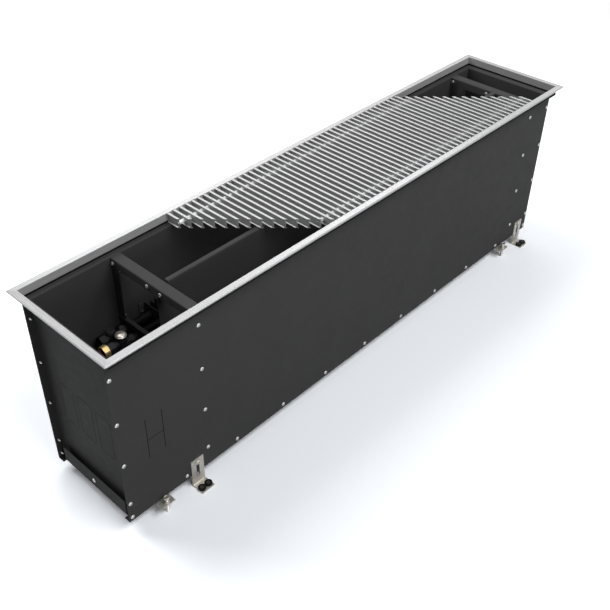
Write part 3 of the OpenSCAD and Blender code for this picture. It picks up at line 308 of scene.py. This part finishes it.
# Each material: the function that makes it, its colour and roughness, and what else that one takes
LOOKS = {
    "casing_black": (powder_coat, CASING_BLACK, 0.6),
    # The front panel's coat, with painted shade along its knock-out's cuts
    "scored_black": (coat_with_painted_cut_shade, CASING_BLACK, 0.6),
    "frame_aluminium_x": (drawn_aluminium, (0.46, 0.46, 0.465), 0.28, X_AXIS),
    # The left and right rails: a darker copy of the same aluminium, as painted shade
    "frame_aluminium_y": (drawn_aluminium, (0.40, 0.40, 0.405), 0.28, Y_AXIS),
    "grille_aluminium": (drawn_aluminium, (0.455, 0.457, 0.46), 0.39, Y_AXIS, 0.20),
    # The spacers: aluminium made near white, as a painted highlight on their tops
    "spacer_aluminium": (drawn_aluminium, (0.90, 0.905, 0.91), 0.40, X_AXIS, 0.10),
    "link_steel": (drawn_aluminium, (0.48, 0.49, 0.51), 0.30, X_AXIS, 0.60),
    "black_rubber": (rubber, (0.005, 0.005, 0.005), 0.65),
    "fin_black": (powder_coat, (0.05, 0.05, 0.053), 0.4),
    "pipe_black": (powder_coat, (0.016, 0.016, 0.018), 0.45),
    "fitting_dark": (moulded_plastic, (0.019, 0.019, 0.023), 0.5),
    # A darker copy of fitting_dark: the fittings' own dark colour, darker still as painted shade
    # deep in the shaft
    "fitting_black": (moulded_plastic, (0.008, 0.008, 0.009), 0.5),
    "union_brass": (polished_metal, (0.70, 0.53, 0.23), 0.42),
    "vent_nickel": (polished_metal, (0.68, 0.62, 0.57), 0.33),
    "cap_plastic": (moulded_plastic, (0.03, 0.03, 0.031), 0.5),
    "bracket_steel": (zinc_plate, (0.51, 0.49, 0.445), 0.42, (0.465, 0.44, 0.39), 0.6),
    "bolt_steel": (zinc_plate, (0.65, 0.64, 0.61), 0.30, (0.56, 0.54, 0.50), 0.8),
    # A darker copy of the zinc screws: painted shade on the portals' screws
    "dull_screws": (zinc_plate, (0.40, 0.40, 0.40), 0.42, (0.32, 0.32, 0.31), 0.8),
    # The foot sleeves: zinc darkened far below its own colour, as painted shade inside their bores
    "sleeve_steel": (zinc_plate, (0.12, 0.12, 0.12), 0.45, (0.09, 0.09, 0.088), 0.6),
    "bright_screws": (zinc_plate, (0.52, 0.52, 0.515), 0.33, (0.45, 0.45, 0.445)),
}
MATERIALS = {name: make(name, *values) for name, (make, *values) in LOOKS.items()}


def look_of(node):
    """The material of a CAD node: that of its slot, or one of its own."""
    slot = RECORD_SLOTS[node]
    if slot == "frame_aluminium":
        # The left and right rails take the darker copy of the aluminium, which is painted shade
        across = node in ("left_frame_rail", "right_frame_rail")
        return MATERIALS["frame_aluminium_y" if across else "frame_aluminium_x"]
    # The front panel carries painted shade along its knock-out's cuts
    if node == "front_side_panel":
        return MATERIALS["scored_black"]
    # The spacers take near-white aluminium, which is a painted highlight
    if node == "grille_spacers":
        return MATERIALS["spacer_aluminium"]
    # The foot sleeves take the darkened zinc, which is painted shade in the bores
    if node.startswith("foot_sleeves"):
        return MATERIALS["sleeve_steel"]
    # These fittings take the darker copy, which is painted shade
    if node in ("return_valve_body", "supply_pipe_nut", "return_pipe_nut"):
        return MATERIALS["fitting_black"]
    return MATERIALS[slot]


def dress_nodes():
    for name, obj in NODES.items():
        obj.data.materials.clear()
        obj.data.materials.append(look_of(name))


# Turned and threaded pieces, which stand for plain CAD solids

def islands(node):
    """The box of each separate solid of a CAD node, as (lowest corner, highest corner)."""
    mesh = bmesh.new()
    mesh.from_mesh(NODES[node].data)
    bmesh.ops.remove_doubles(mesh, verts=mesh.verts, dist=SAME_PLACE)
    left = set(mesh.verts)
    boxes = []
    while left:
        group = set()
        reached = [min(left, key=lambda v: v.index)]
        while reached:
            vert = reached.pop()
            if vert in left:
                left.discard(vert)
                group.add(vert)
                reached.extend(e.other_vert(vert) for e in vert.link_edges)
        points = [v.co for v in group]
        low = Vector([min(p[i] for p in points) for i in range(3)])
        high = Vector([max(p[i] for p in points) for i in range(3)])
        boxes.append((low, high))
    mesh.free()
    return sorted(boxes, key=lambda b: tuple(b[0]))


def underside(low, high):
    """The middle of a box's underside."""
    return Vector(((low.x + high.x) / 2, (low.y + high.y) / 2, low.z))


SHARP_ANGLE = math.radians(32)


class Turned:
    """One mesh of turned solids.

    A ring is (radius, height), and a radius may be a function of angle and height.
    """

    def __init__(self):
        self.mesh = bmesh.new()

    def add(self, rings, at, axis, segments, hollow=False):
        """Rings from one end to the other. A hollow solid's last ring joins its first."""
        axis = Vector(axis)
        upright = abs(axis.z) > 0.5
        first = Vector(TO_THE_RIGHT if upright else UP)
        second = axis.cross(first)
        made = []
        for radius, height in rings:
            if radius == 0:
                made.append([self.mesh.verts.new(Vector(at) + axis * height)] * segments)
                continue
            ring = []
            for k in range(segments):
                angle = 2 * math.pi * k / segments
                r = radius(angle, height) if callable(radius) else radius
                out = first * math.cos(angle) + second * math.sin(angle)
                ring.append(self.mesh.verts.new(Vector(at) + axis * height + out * r))
            made.append(ring)
        pairs = list(zip(made, made[1:]))
        if hollow:
            pairs.append((made[-1], made[0]))
        for low, high in pairs:
            for k in range(segments):
                j = (k + 1) % segments
                corners = []
                for vert in (low[k], low[j], high[j], high[k]):
                    if vert not in corners:
                        corners.append(vert)
                if len(corners) > 2:
                    self.mesh.faces.new(corners)

    def piece(self, name, body, material, node):
        """The finished mesh as a piece that rides on a body and stands for a CAD node."""
        bmesh.ops.recalc_face_normals(self.mesh, faces=self.mesh.faces)
        data = bpy.data.meshes.new(name)
        self.mesh.to_mesh(data)
        self.mesh.free()
        data.shade_smooth()
        data.set_sharp_from_angle(angle=SHARP_ANGLE)
        data.materials.append(MATERIALS[material])
        obj = bpy.data.objects.new(name, data)
        bpy.context.scene.collection.objects.link(obj)
        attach(obj, body)
        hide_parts(node)


def scaled(profile, radius, height, start=0.0):
    """Rings from pairs of (share of the radius, share of the height), from a start height on."""
    return [(radius * r, start + height * h) for r, h in profile]


# Hexagons, whose corners a turned cone chamfers
HEX_HALF = math.pi / 6
CHAMFER_SLOPE = math.radians(30)
CHAMFER_STEPS = 5


def corner_radius(flats):
    """From the middle of a hexagon to its corners, for its width across flats."""
    return flats / 2 / math.cos(HEX_HALF)


def hexagon(flats, rounded):
    """The radius of a hexagon at an angle, with corners turned off at a share of theirs."""
    corner = corner_radius(flats)

    def radius(angle, _height):
        off = (angle + HEX_HALF) % (2 * HEX_HALF) - HEX_HALF
        return min(corner * rounded, flats / 2 / math.cos(HEX_HALF - abs(off)))
    return radius


def chamfered(shape, limit):
    """A shape's radius, but no more than the limit."""
    return lambda angle, height: min(shape(angle, height), limit)


def hexagon_rings(flats, low, high, inset=0.02, rounded=1.0, chamfer_low=True):
    """A hexagon bar between two heights, with the curved chamfers that a turned cone leaves.

    The cone starts inside the flats, by inset as a share of their half width.
    """
    shape = hexagon(flats, rounded)
    corner = corner_radius(flats)
    start = flats / 2 * (1 - inset)
    depth = (corner - start) * math.tan(CHAMFER_SLOPE)
    slope = []
    for k in range(CHAMFER_STEPS + 1):
        slope.append((start + (corner - start) * k / CHAMFER_STEPS, depth * k / CHAMFER_STEPS))
    bottom = [(chamfered(shape, r), low + h) for r, h in slope] if chamfer_low else [(shape, low)]
    top = [(chamfered(shape, r), high - h) for r, h in reversed(slope)]
    return bottom + top


THREAD_STEPS = 4


def thread(root, crest, pitch):
    """The radius of a screw thread at an angle and a height."""
    def radius(angle, height):
        turn = (height / pitch - angle / (2 * math.pi)) % 1
        return root + (crest - root) * abs(2 * turn - 1)
    return radius


def thread_rings(root, crest, pitch, low, high):
    count = max(2, int((high - low) / pitch * THREAD_STEPS))
    shape = thread(root, crest, pitch)
    return [(shape, low + (high - low) * k / count) for k in range(count + 1)]


def fluted(size, flutes, depth, sharpness=1):
    """The radius of a fluted edge, cut in by a share of its size."""
    def radius(angle, _height):
        return size * (1 - depth * (0.5 + 0.5 * math.cos(flutes * angle)) ** sharpness)
    return radius


# A pan head: its edge, in shares of the half width and of the edge's height, and its dome's steps
HEAD_EDGE = ((0.985, 0), (1, 0.3), (1, 1))
DOME_STEPS = 4
DOME_STEP_DEG = 14

# The six-lobe recess: its size as a share of the head's half width, its lobes, and its wall and
# floor, in shares of its own size and of the head's height, counted down from its rim
RECESS_SHARE = 0.46
RECESS_LOBES = 6
RECESS_WAVE = 0.16
RECESS_WALL = ((1.04, 0), (0.97, 0.06), (0.92, 0.55))
RECESS_FLOOR = 0.62


def lobed(size):
    """The radius of a six-lobe drive recess."""
    return lambda angle, _height: size * (1 + RECESS_WAVE * math.cos(RECESS_LOBES * angle))


def pan_head_rings(width, height, edge):
    """A domed screw head over height 0, with a six-lobe recess in its top."""
    half = width / 2
    rise = height - edge
    recess = half * RECESS_SHARE
    rings = scaled(HEAD_EDGE, half, edge)
    for step in range(1, DOME_STEPS + 1):
        angle = math.radians(step * DOME_STEP_DEG)
        rings.append((half * math.cos(angle), edge + rise * math.sin(angle)))
    rim = edge + rise * math.sqrt(1 - (recess / half) ** 2)
    for share, down in RECESS_WALL:
        rings.append((lobed(recess * share), rim - height * down))
    rings.append((0, rim - height * RECESS_FLOOR))
    return rings


# Head height, head edge, shank and pitch of the small screws and of the foot screws
SMALL_SCREW = (2.4 * MM, 0.7 * MM, 4.2 * MM, 1.4 * MM)
FOOT_SCREW = (3.0 * MM, 0.7 * MM, 6.0 * MM, 1.0 * MM)
SCREW_SEGMENTS = 24

# A screw's point and thread, in shares of its shank
SCREW_POINT = ((0, 0), (0.18, 0), (0.40, 0.5))
SCREW_ROOT = 0.41
SCREW_CREST = 0.5
SCREW_THREAD_FROM = 0.6


def screws(node, sizes, axis_index, outward, name, material):
    """A node's screws. Outward gives the way that the head of the screw in a box looks."""
    head_h, edge, shank, pitch = sizes
    solids = Turned()
    for low, high in islands(node):
        way = outward(low, high)
        axis = Vector((0, 0, 0))
        axis[axis_index] = way
        at = (low + high) / 2
        at[axis_index] = (high if way > 0 else low)[axis_index] - way * head_h
        head_d = (high - low)[(axis_index + 1) % 3]
        length = (high - low)[axis_index] - head_h
        thread_from = -length + shank * SCREW_THREAD_FROM
        rings = scaled(SCREW_POINT, shank, shank, -length)
        rings += thread_rings(shank * SCREW_ROOT, shank * SCREW_CREST, pitch, thread_from, -edge)
        rings += pan_head_rings(head_d, head_h, edge)
        solids.add(rings, at, axis, SCREW_SEGMENTS)
    solids.piece(name, "casing", material, node)


def small_fasteners():
    def by_x(low, high):
        return 1 if low.x + high.x > 0 else -1

    def by_y(low, high):
        return 1 if low.y + high.y > 0 else -1

    def to_left(_low, _high):
        return -1

    screws("casing_screws", SMALL_SCREW, Y_AXIS, by_y, "threaded_casing_screws", "bright_screws")
    # The portal screws take the darker zinc, which is painted shade
    screws("portal_screws", SMALL_SCREW, X_AXIS, to_left, "threaded_portal_screws", "dull_screws")
    screws("base_screws", SMALL_SCREW, X_AXIS, by_x, "threaded_base_screws", "bright_screws")
    screws("foot_screws", FOOT_SCREW, Y_AXIS, by_y, "threaded_foot_screws", "bracket_steel")


# A levelling bolt: its thread, the cone of its tip, the plain shank that the thread runs out into,
# and its head, whose dish is given in shares of the flats and of the head's height
BOLT_D = 6 * MM
BOLT_ROOT_R = BOLT_D * 0.43
BOLT_PITCH = 1.0 * MM
BOLT_TIP_L = 1 * MM
BOLT_CONE_L = BOLT_TIP_L * 0.8
BOLT_SHANK_L = 2.5 * MM
BOLT_PLAIN_L = BOLT_SHANK_L * 0.9
BOLT_HEAD_H = 4 * MM
BOLT_DISH = ((0.40, 1), (0.36, 0.93), (0, 0.93))
BOLT_SEGMENTS = 48


def levelling_bolts():
    """Hexagon bolts with a rolled thread, a chamfered point and a chamfered head."""
    for corner in CORNERS:
        node = "levelling_bolt_" + corner
        low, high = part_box(node)
        head = high.z - low.z - BOLT_HEAD_H
        flats = high.y - low.y
        shank = head - BOLT_SHANK_L
        rings = [(0, 0), (BOLT_D / 2 - BOLT_TIP_L, 0), (BOLT_ROOT_R, BOLT_CONE_L)]
        rings += thread_rings(BOLT_ROOT_R, BOLT_D / 2, BOLT_PITCH, BOLT_TIP_L, shank)
        rings += [(BOLT_D / 2, head - BOLT_PLAIN_L), (BOLT_D / 2, head)]
        rings += hexagon_rings(flats, head, head + BOLT_HEAD_H, chamfer_low=False)
        rings += scaled(BOLT_DISH, flats, BOLT_HEAD_H, head)
        solid = Turned()
        solid.add(rings, underside(low, high), UP, BOLT_SEGMENTS)
        solid.piece("threaded_bolt_" + corner, "leveller_" + corner, "bolt_steel", node)


# A lock nut's bore and the mouths at its two ends, in shares of the bore and of the height
NUT_BORE_R = BOLT_D / 2 * 1.03
NUT_LOWER_MOUTH = ((1, 0.1), (1.08, 0))
NUT_UPPER_MOUTH = ((1.08, 1), (1, 0.9))


def lock_nuts():
    node = "levelling_lock_nuts"
    solids = Turned()
    for low, high in islands(node):
        flats = high.y - low.y
        height = high.z - low.z
        rings = scaled(NUT_LOWER_MOUTH, NUT_BORE_R, height)
        rings += hexagon_rings(flats, 0, height)
        rings += scaled(NUT_UPPER_MOUTH, NUT_BORE_R, height)
        solids.add(rings, underside(low, high), UP, BOLT_SEGMENTS, hollow=True)
    solids.piece("chamfered_lock_nuts", "casing", "bracket_steel", node)


# A foot bush: its neck, and its collar's lower edge, grooves, upper edge and dished top, in shares
# of the collar's radius and height. The top is counted from the top of the bush.
BUSH_NECK_R = 5 * MM
BUSH_COLLAR_H = 4 * MM
BUSH_PLAY = 0.1 * MM
BUSH_LOWER_EDGE = ((0.97, 0), (1, 0.12))
BUSH_GROOVES_AT = (0.30, 0.62)
BUSH_GROOVE = ((1, 0), (0.93, 0.05), (0.93, 0.12), (1, 0.17))
BUSH_UPPER_EDGE = ((1, 0.88),)
BUSH_TOP = ((0.90, 0), (0.62, 0), (0.58, -0.15))
BUSH_SEGMENTS = 40


def foot_bushes():
    """Rubber bushes with a ribbed collar, round the steel sleeves of each foot."""
    for corner in CORNERS:
        node = "foot_bushes_" + corner
        sleeve_low, sleeve_high = islands("foot_sleeves_" + corner)[0]
        bore = (sleeve_high.x - sleeve_low.x) / 2 + BUSH_PLAY
        solids = Turned()
        for low, high in islands(node):
            half = (high.x - low.x) / 2
            height = high.z - low.z
            collar = height - BUSH_COLLAR_H
            rings = [(bore, 0), (BUSH_NECK_R, 0), (BUSH_NECK_R, collar)]
            rings += scaled(BUSH_LOWER_EDGE, half, BUSH_COLLAR_H, collar)
            for start in BUSH_GROOVES_AT:
                groove = [(r, start + h) for r, h in BUSH_GROOVE]
                rings += scaled(groove, half, BUSH_COLLAR_H, collar)
            rings += scaled(BUSH_UPPER_EDGE, half, BUSH_COLLAR_H, collar)
            rings += scaled(BUSH_TOP, half, BUSH_COLLAR_H, height)
            rings += [(bore, rings[-1][1])]
            solids.add(rings, underside(low, high), UP, BUSH_SEGMENTS, hollow=True)
        solids.piece("ribbed_bushes_" + corner, "foot_" + corner, "black_rubber", node)


# The union nut: its inner thread, the recess behind the thread, and the neck at its far end
UNION_BORE_R = 10.5 * MM
UNION_GROOVE_R = UNION_BORE_R * 1.07
UNION_MOUTH_R = UNION_BORE_R * 1.08
UNION_THREAD_FROM = 0.8 * MM
UNION_THREAD_L = 4.6 * MM
UNION_THREAD_GAP = 0.1 * MM
UNION_PITCH = 1.8 * MM
UNION_RECESS_R = 10.8 * MM
UNION_BORE_L = 9 * MM
UNION_NECK_R = UNION_BORE_R * 0.70
UNION_NECK_LIP_R = UNION_NECK_R * 1.03
UNION_NECK_LIP_L = 0.4 * MM
UNION_INSET = 0.03
UNION_ROUNDED = 0.925
UNION_SEGMENTS = 72


def union_nut():
    """A brass union nut: turned corners, a chamfered mouth and an inner thread."""
    node = "supply_union_nut"
    low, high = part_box(node)
    at = Vector((low.x, (low.y + high.y) / 2, (low.z + high.z) / 2))
    length = high.x - low.x
    flats = high.y - low.y
    thread_end = UNION_THREAD_L - UNION_THREAD_GAP
    inner = thread_rings(UNION_BORE_R, UNION_GROOVE_R, UNION_PITCH, UNION_THREAD_FROM, thread_end)
    rings = [(UNION_NECK_R, UNION_BORE_L)]
    rings += [(UNION_RECESS_R, UNION_BORE_L), (UNION_RECESS_R, UNION_THREAD_L)]
    rings += reversed(inner)
    rings += [(UNION_MOUTH_R, 0)]
    rings += hexagon_rings(flats, 0, length, inset=UNION_INSET, rounded=UNION_ROUNDED)
    rings += [(UNION_NECK_LIP_R, length), (UNION_NECK_R, length - UNION_NECK_LIP_L)]
    solid = Turned()
    solid.add(rings, at, TO_THE_RIGHT, UNION_SEGMENTS, hollow=True)
    solid.piece("threaded_union_nut", "union_nut", "union_brass", node)


# The air vent: the hole round its screw, its fluted edge, its groove and its dome, in shares of the
# screw's or the vent's radius and of the vent's height
VENT_SCREW_R = 3.2 * MM
VENT_SEAT = ((1, 0.3), (1, 0))
VENT_FOOT = ((0.88, 0),)
VENT_FLUTED = ((0.97, 0.08), (1.0, 0.14), (1.0, 0.36))
VENT_GROOVE = ((0.95, 0.42), (0.90, 0.44), (0.90, 0.50))
VENT_MOUTH = ((1.15, 0.985), (1, 0.93))
VENT_FLUTES = 30
VENT_FLUTE_DEPTH = 0.02
VENT_FLUTE_STEPS = 4
VENT_DOME_R = 0.93
VENT_DOME_STEPS = 6
VENT_DOME_START_DEG = 10
VENT_DOME_STEP_DEG = 13


def air_vent():
    """A turned vent head: a fluted edge, a groove and a low dome round its screw."""
    node = "air_vent"
    low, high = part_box(node)
    half = (high.x - low.x) / 2
    height = high.z - low.z
    rings = scaled(VENT_SEAT, VENT_SCREW_R, height)
    rings += scaled(VENT_FOOT, half, height)
    for share, up in VENT_FLUTED:
        rings.append((fluted(half * share, VENT_FLUTES, VENT_FLUTE_DEPTH), height * up))
    rings += scaled(VENT_GROOVE, half, height)
    for step in range(VENT_DOME_STEPS):
        angle = math.radians(VENT_DOME_START_DEG + VENT_DOME_STEP_DEG * step)
        up = 0.5 + 0.5 * math.sin(angle)
        rings.append((half * VENT_DOME_R * math.cos(angle), height * up))
    rings += scaled(VENT_MOUTH, VENT_SCREW_R, height)
    solid = Turned()
    solid.add(rings, underside(low, high), UP, VENT_FLUTES * VENT_FLUTE_STEPS, hollow=True)
    solid.piece("turned_air_vent", "casing", "vent_nickel", node)


# The return cap: its bore, its skirt, its grip with the depth of the flutes, and its dished top, in
# shares of the cap's radius and height
CAP_BORE_R = 3.7 * MM
CAP_BORE_END = 0.72
CAP_SKIRT = ((0.96, 0), (1, 0.05), (1, 0.12))
CAP_GRIP = ((1.0, 0.20, 0.07), (0.99, 0.68, 0.07), (0.95, 0.80, 0.05))
CAP_TOP = ((0.88, 0.91), (0.76, 0.98), (0.62, 1), (0.52, 0.985), (0.44, 0.94), (0, 0.93))
CAP_FLUTES = 20
CAP_FLUTE_SHARPNESS = 2
CAP_FLUTE_STEPS = 6


def return_cap():
    """The return valve's protective cap: flutes for the fingers, a rounded rim and a dish."""
    node = "return_valve_cap"
    low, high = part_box(node)
    half = (high.x - low.x) / 2
    height = high.z - low.z
    rings = [(0, height * CAP_BORE_END), (CAP_BORE_R, height * CAP_BORE_END), (CAP_BORE_R, 0)]
    rings += scaled(CAP_SKIRT, half, height)
    for share, up, depth in CAP_GRIP:
        grip = fluted(half * share, CAP_FLUTES, depth, CAP_FLUTE_SHARPNESS)
        rings.append((grip, height * up))
    rings += scaled(CAP_TOP, half, height)
    solid = Turned()
    solid.add(rings, underside(low, high), UP, CAP_FLUTES * CAP_FLUTE_STEPS)
    solid.piece("fluted_return_cap", "return_cap", "cap_plastic", node)


# Widths of the rounding, by a part of the node's name
EDGE_ROUND = {
    "foot_bracket_": 0.35 * MM,
    "levelling_tabs": 0.3 * MM,
    "foot_washers": 0.2 * MM,
    "_frame_rail": 0.25 * MM,
    "supply_pipe_nut": 0.3 * MM,
    "return_pipe_nut": 0.3 * MM,
}
FLAT_ANGLE = math.radians(0.5)
EDGE_ANGLE = math.radians(40)
EDGE_SEGMENTS = 2


def round_edges():
    """A small rounding on the sheet and bar edges that catch the light.

    Flat faces are joined first, because seams inside them make the rounding bulge.
    """
    for name, obj in NODES.items():
        for part, width in EDGE_ROUND.items():
            if part in name and not obj.hide_render:
                weld = obj.modifiers.new("weld", "WELD")
                weld.merge_threshold = SAME_PLACE
                flat = obj.modifiers.new("flat", "DECIMATE")
                flat.decimate_type = "DISSOLVE"
                flat.angle_limit = FLAT_ANGLE
                bevel = obj.modifiers.new("bevel", "BEVEL")
                bevel.width = width
                bevel.segments = EDGE_SEGMENTS
                bevel.limit_method = "ANGLE"
                bevel.angle_limit = EDGE_ANGLE
                bevel.loop_slide = False


# Floor, world, lamps and camera

def light_path(tree, *rays):
    """1 where a surface is met by one of the named kinds of ray."""
    seen = tree.nodes.new("ShaderNodeLightPath")
    total = seen.outputs[rays[0]]
    for ray in rays[1:]:
        more = tree.nodes.new("ShaderNodeMath")
        more.operation = "MAXIMUM"
        tree.links.new(total, more.inputs[0])
        tree.links.new(seen.outputs[ray], more.inputs[1])
        total = more.outputs[0]
    return total


def colored(tree, kind, color, strength=None):
    """A new shader node of one colour, and of one strength if it has any."""
    node = tree.nodes.new(kind)
    node.inputs["Color"].default_value = (*color, 1)
    if strength is not None:
        node.inputs["Strength"].default_value = strength
    return node.outputs[0]


def picked(tree, value, first, second):
    """The first shader where value is 0, the second where it is 1."""
    pick = tree.nodes.new("ShaderNodeMixShader")
    tree.links.new(value, pick.inputs[0])
    tree.links.new(first, pick.inputs[1])
    tree.links.new(second, pick.inputs[2])
    return pick.outputs[0]


def floor():
    """A floor that keeps the object's shadow, looks pale and cool, and fades to white further out.

    The white far floor is only seen, and no light is sampled from it.
    """
    mesh = bpy.data.meshes.new("floor")
    signs = ((-1, -1), (1, -1), (1, 1), (-1, 1))
    corners = [(x * FLOOR_HALF, y * FLOOR_HALF, 0) for x, y in signs]
    mesh.from_pydata(corners, [], [(0, 1, 2, 3)])
    obj = bpy.data.objects.new("floor", mesh)
    bpy.context.scene.collection.objects.link(obj)
    material = bpy.data.materials.new("floor")
    material.use_nodes = True
    tree = material.node_tree
    tree.nodes.clear()
    plain = colored(tree, "ShaderNodeBsdfDiffuse", FLOOR_COLOR)
    shown = colored(tree, "ShaderNodeBsdfDiffuse", FLOOR_SHOWN)
    white = colored(tree, "ShaderNodeEmission", WHITE)
    away = tree.nodes.new("ShaderNodeVectorMath")
    away.operation = "LENGTH"
    tree.links.new(tree.nodes.new("ShaderNodeTexCoord").outputs["Object"], away.inputs[0])
    fade = tree.nodes.new("ShaderNodeMapRange")
    fade.interpolation_type = "SMOOTHSTEP"
    fade.inputs["From Min"].default_value = FLOOR_FADE[0]
    fade.inputs["From Max"].default_value = FLOOR_FADE[1]
    tree.links.new(away.outputs["Value"], fade.inputs["Value"])
    near_and_far = picked(tree, fade.outputs["Result"], shown, white)
    seen = light_path(tree, "Is Camera Ray", "Is Glossy Ray")
    out = tree.nodes.new("ShaderNodeOutputMaterial")
    tree.links.new(picked(tree, seen, plain, near_and_far), out.inputs["Surface"])
    material.cycles.emission_sampling = "NONE"
    mesh.materials.append(material)


def world():
    """White where it is seen, mirrored or seen through, and a faint even light elsewhere."""
    light = bpy.data.worlds.new("studio")
    bpy.context.scene.world = light
    light.use_nodes = True
    tree = light.node_tree
    tree.nodes.clear()
    soft = colored(tree, "ShaderNodeBackground", WHITE, SKY_STRENGTH)
    white = colored(tree, "ShaderNodeBackground", WHITE, 1.0)
    out = tree.nodes.new("ShaderNodeOutputWorld")
    seen = light_path(tree, "Is Camera Ray", "Is Glossy Ray", "Is Transmission Ray")
    tree.links.new(picked(tree, seen, soft, white), out.inputs["Surface"])


def lamps():
    for name, at, aim, size, power in LAMPS:
        data = bpy.data.lights.new(name, "AREA")
        data.shape = "RECTANGLE"
        data.size, data.size_y = size
        data.energy = power
        lamp = bpy.data.objects.new(name, data)
        lamp.location = at
        lamp.visible_camera = False
        lamp.rotation_mode = "QUATERNION"
        lamp.rotation_quaternion = (Vector(aim) - Vector(at)).to_track_quat("-Z", "Y")
        bpy.context.scene.collection.objects.link(lamp)


def camera():
    forward = Vector(CAMERA_FORWARD).normalized()
    right = Vector(CAMERA_RIGHT).normalized()
    up = right.cross(forward).normalized()
    data = bpy.data.cameras.new("camera")
    data.sensor_width = SENSOR_MM
    data.lens = FOCAL_PX / PHOTO_PX * SENSOR_MM
    data.shift_x = 0.5 - CENTRE_PX[0] / PHOTO_PX
    data.shift_y = CENTRE_PX[1] / PHOTO_PX - 0.5
    data.clip_end = CAMERA_REACH
    obj = bpy.data.objects.new("camera", data)
    turn = Matrix((right, up, -forward)).transposed()
    obj.matrix_world = Matrix.Translation(CAMERA_AT) @ turn.to_4x4()
    bpy.context.scene.collection.objects.link(obj)
    bpy.context.scene.camera = obj


camera()
world()
lamps()
floor()
dress_nodes()
small_fasteners()
levelling_bolts()
lock_nuts()
foot_bushes()
union_nut()
air_vent()
return_cap()
round_edges()
bpy.context.scene.view_settings.view_transform = "Standard"
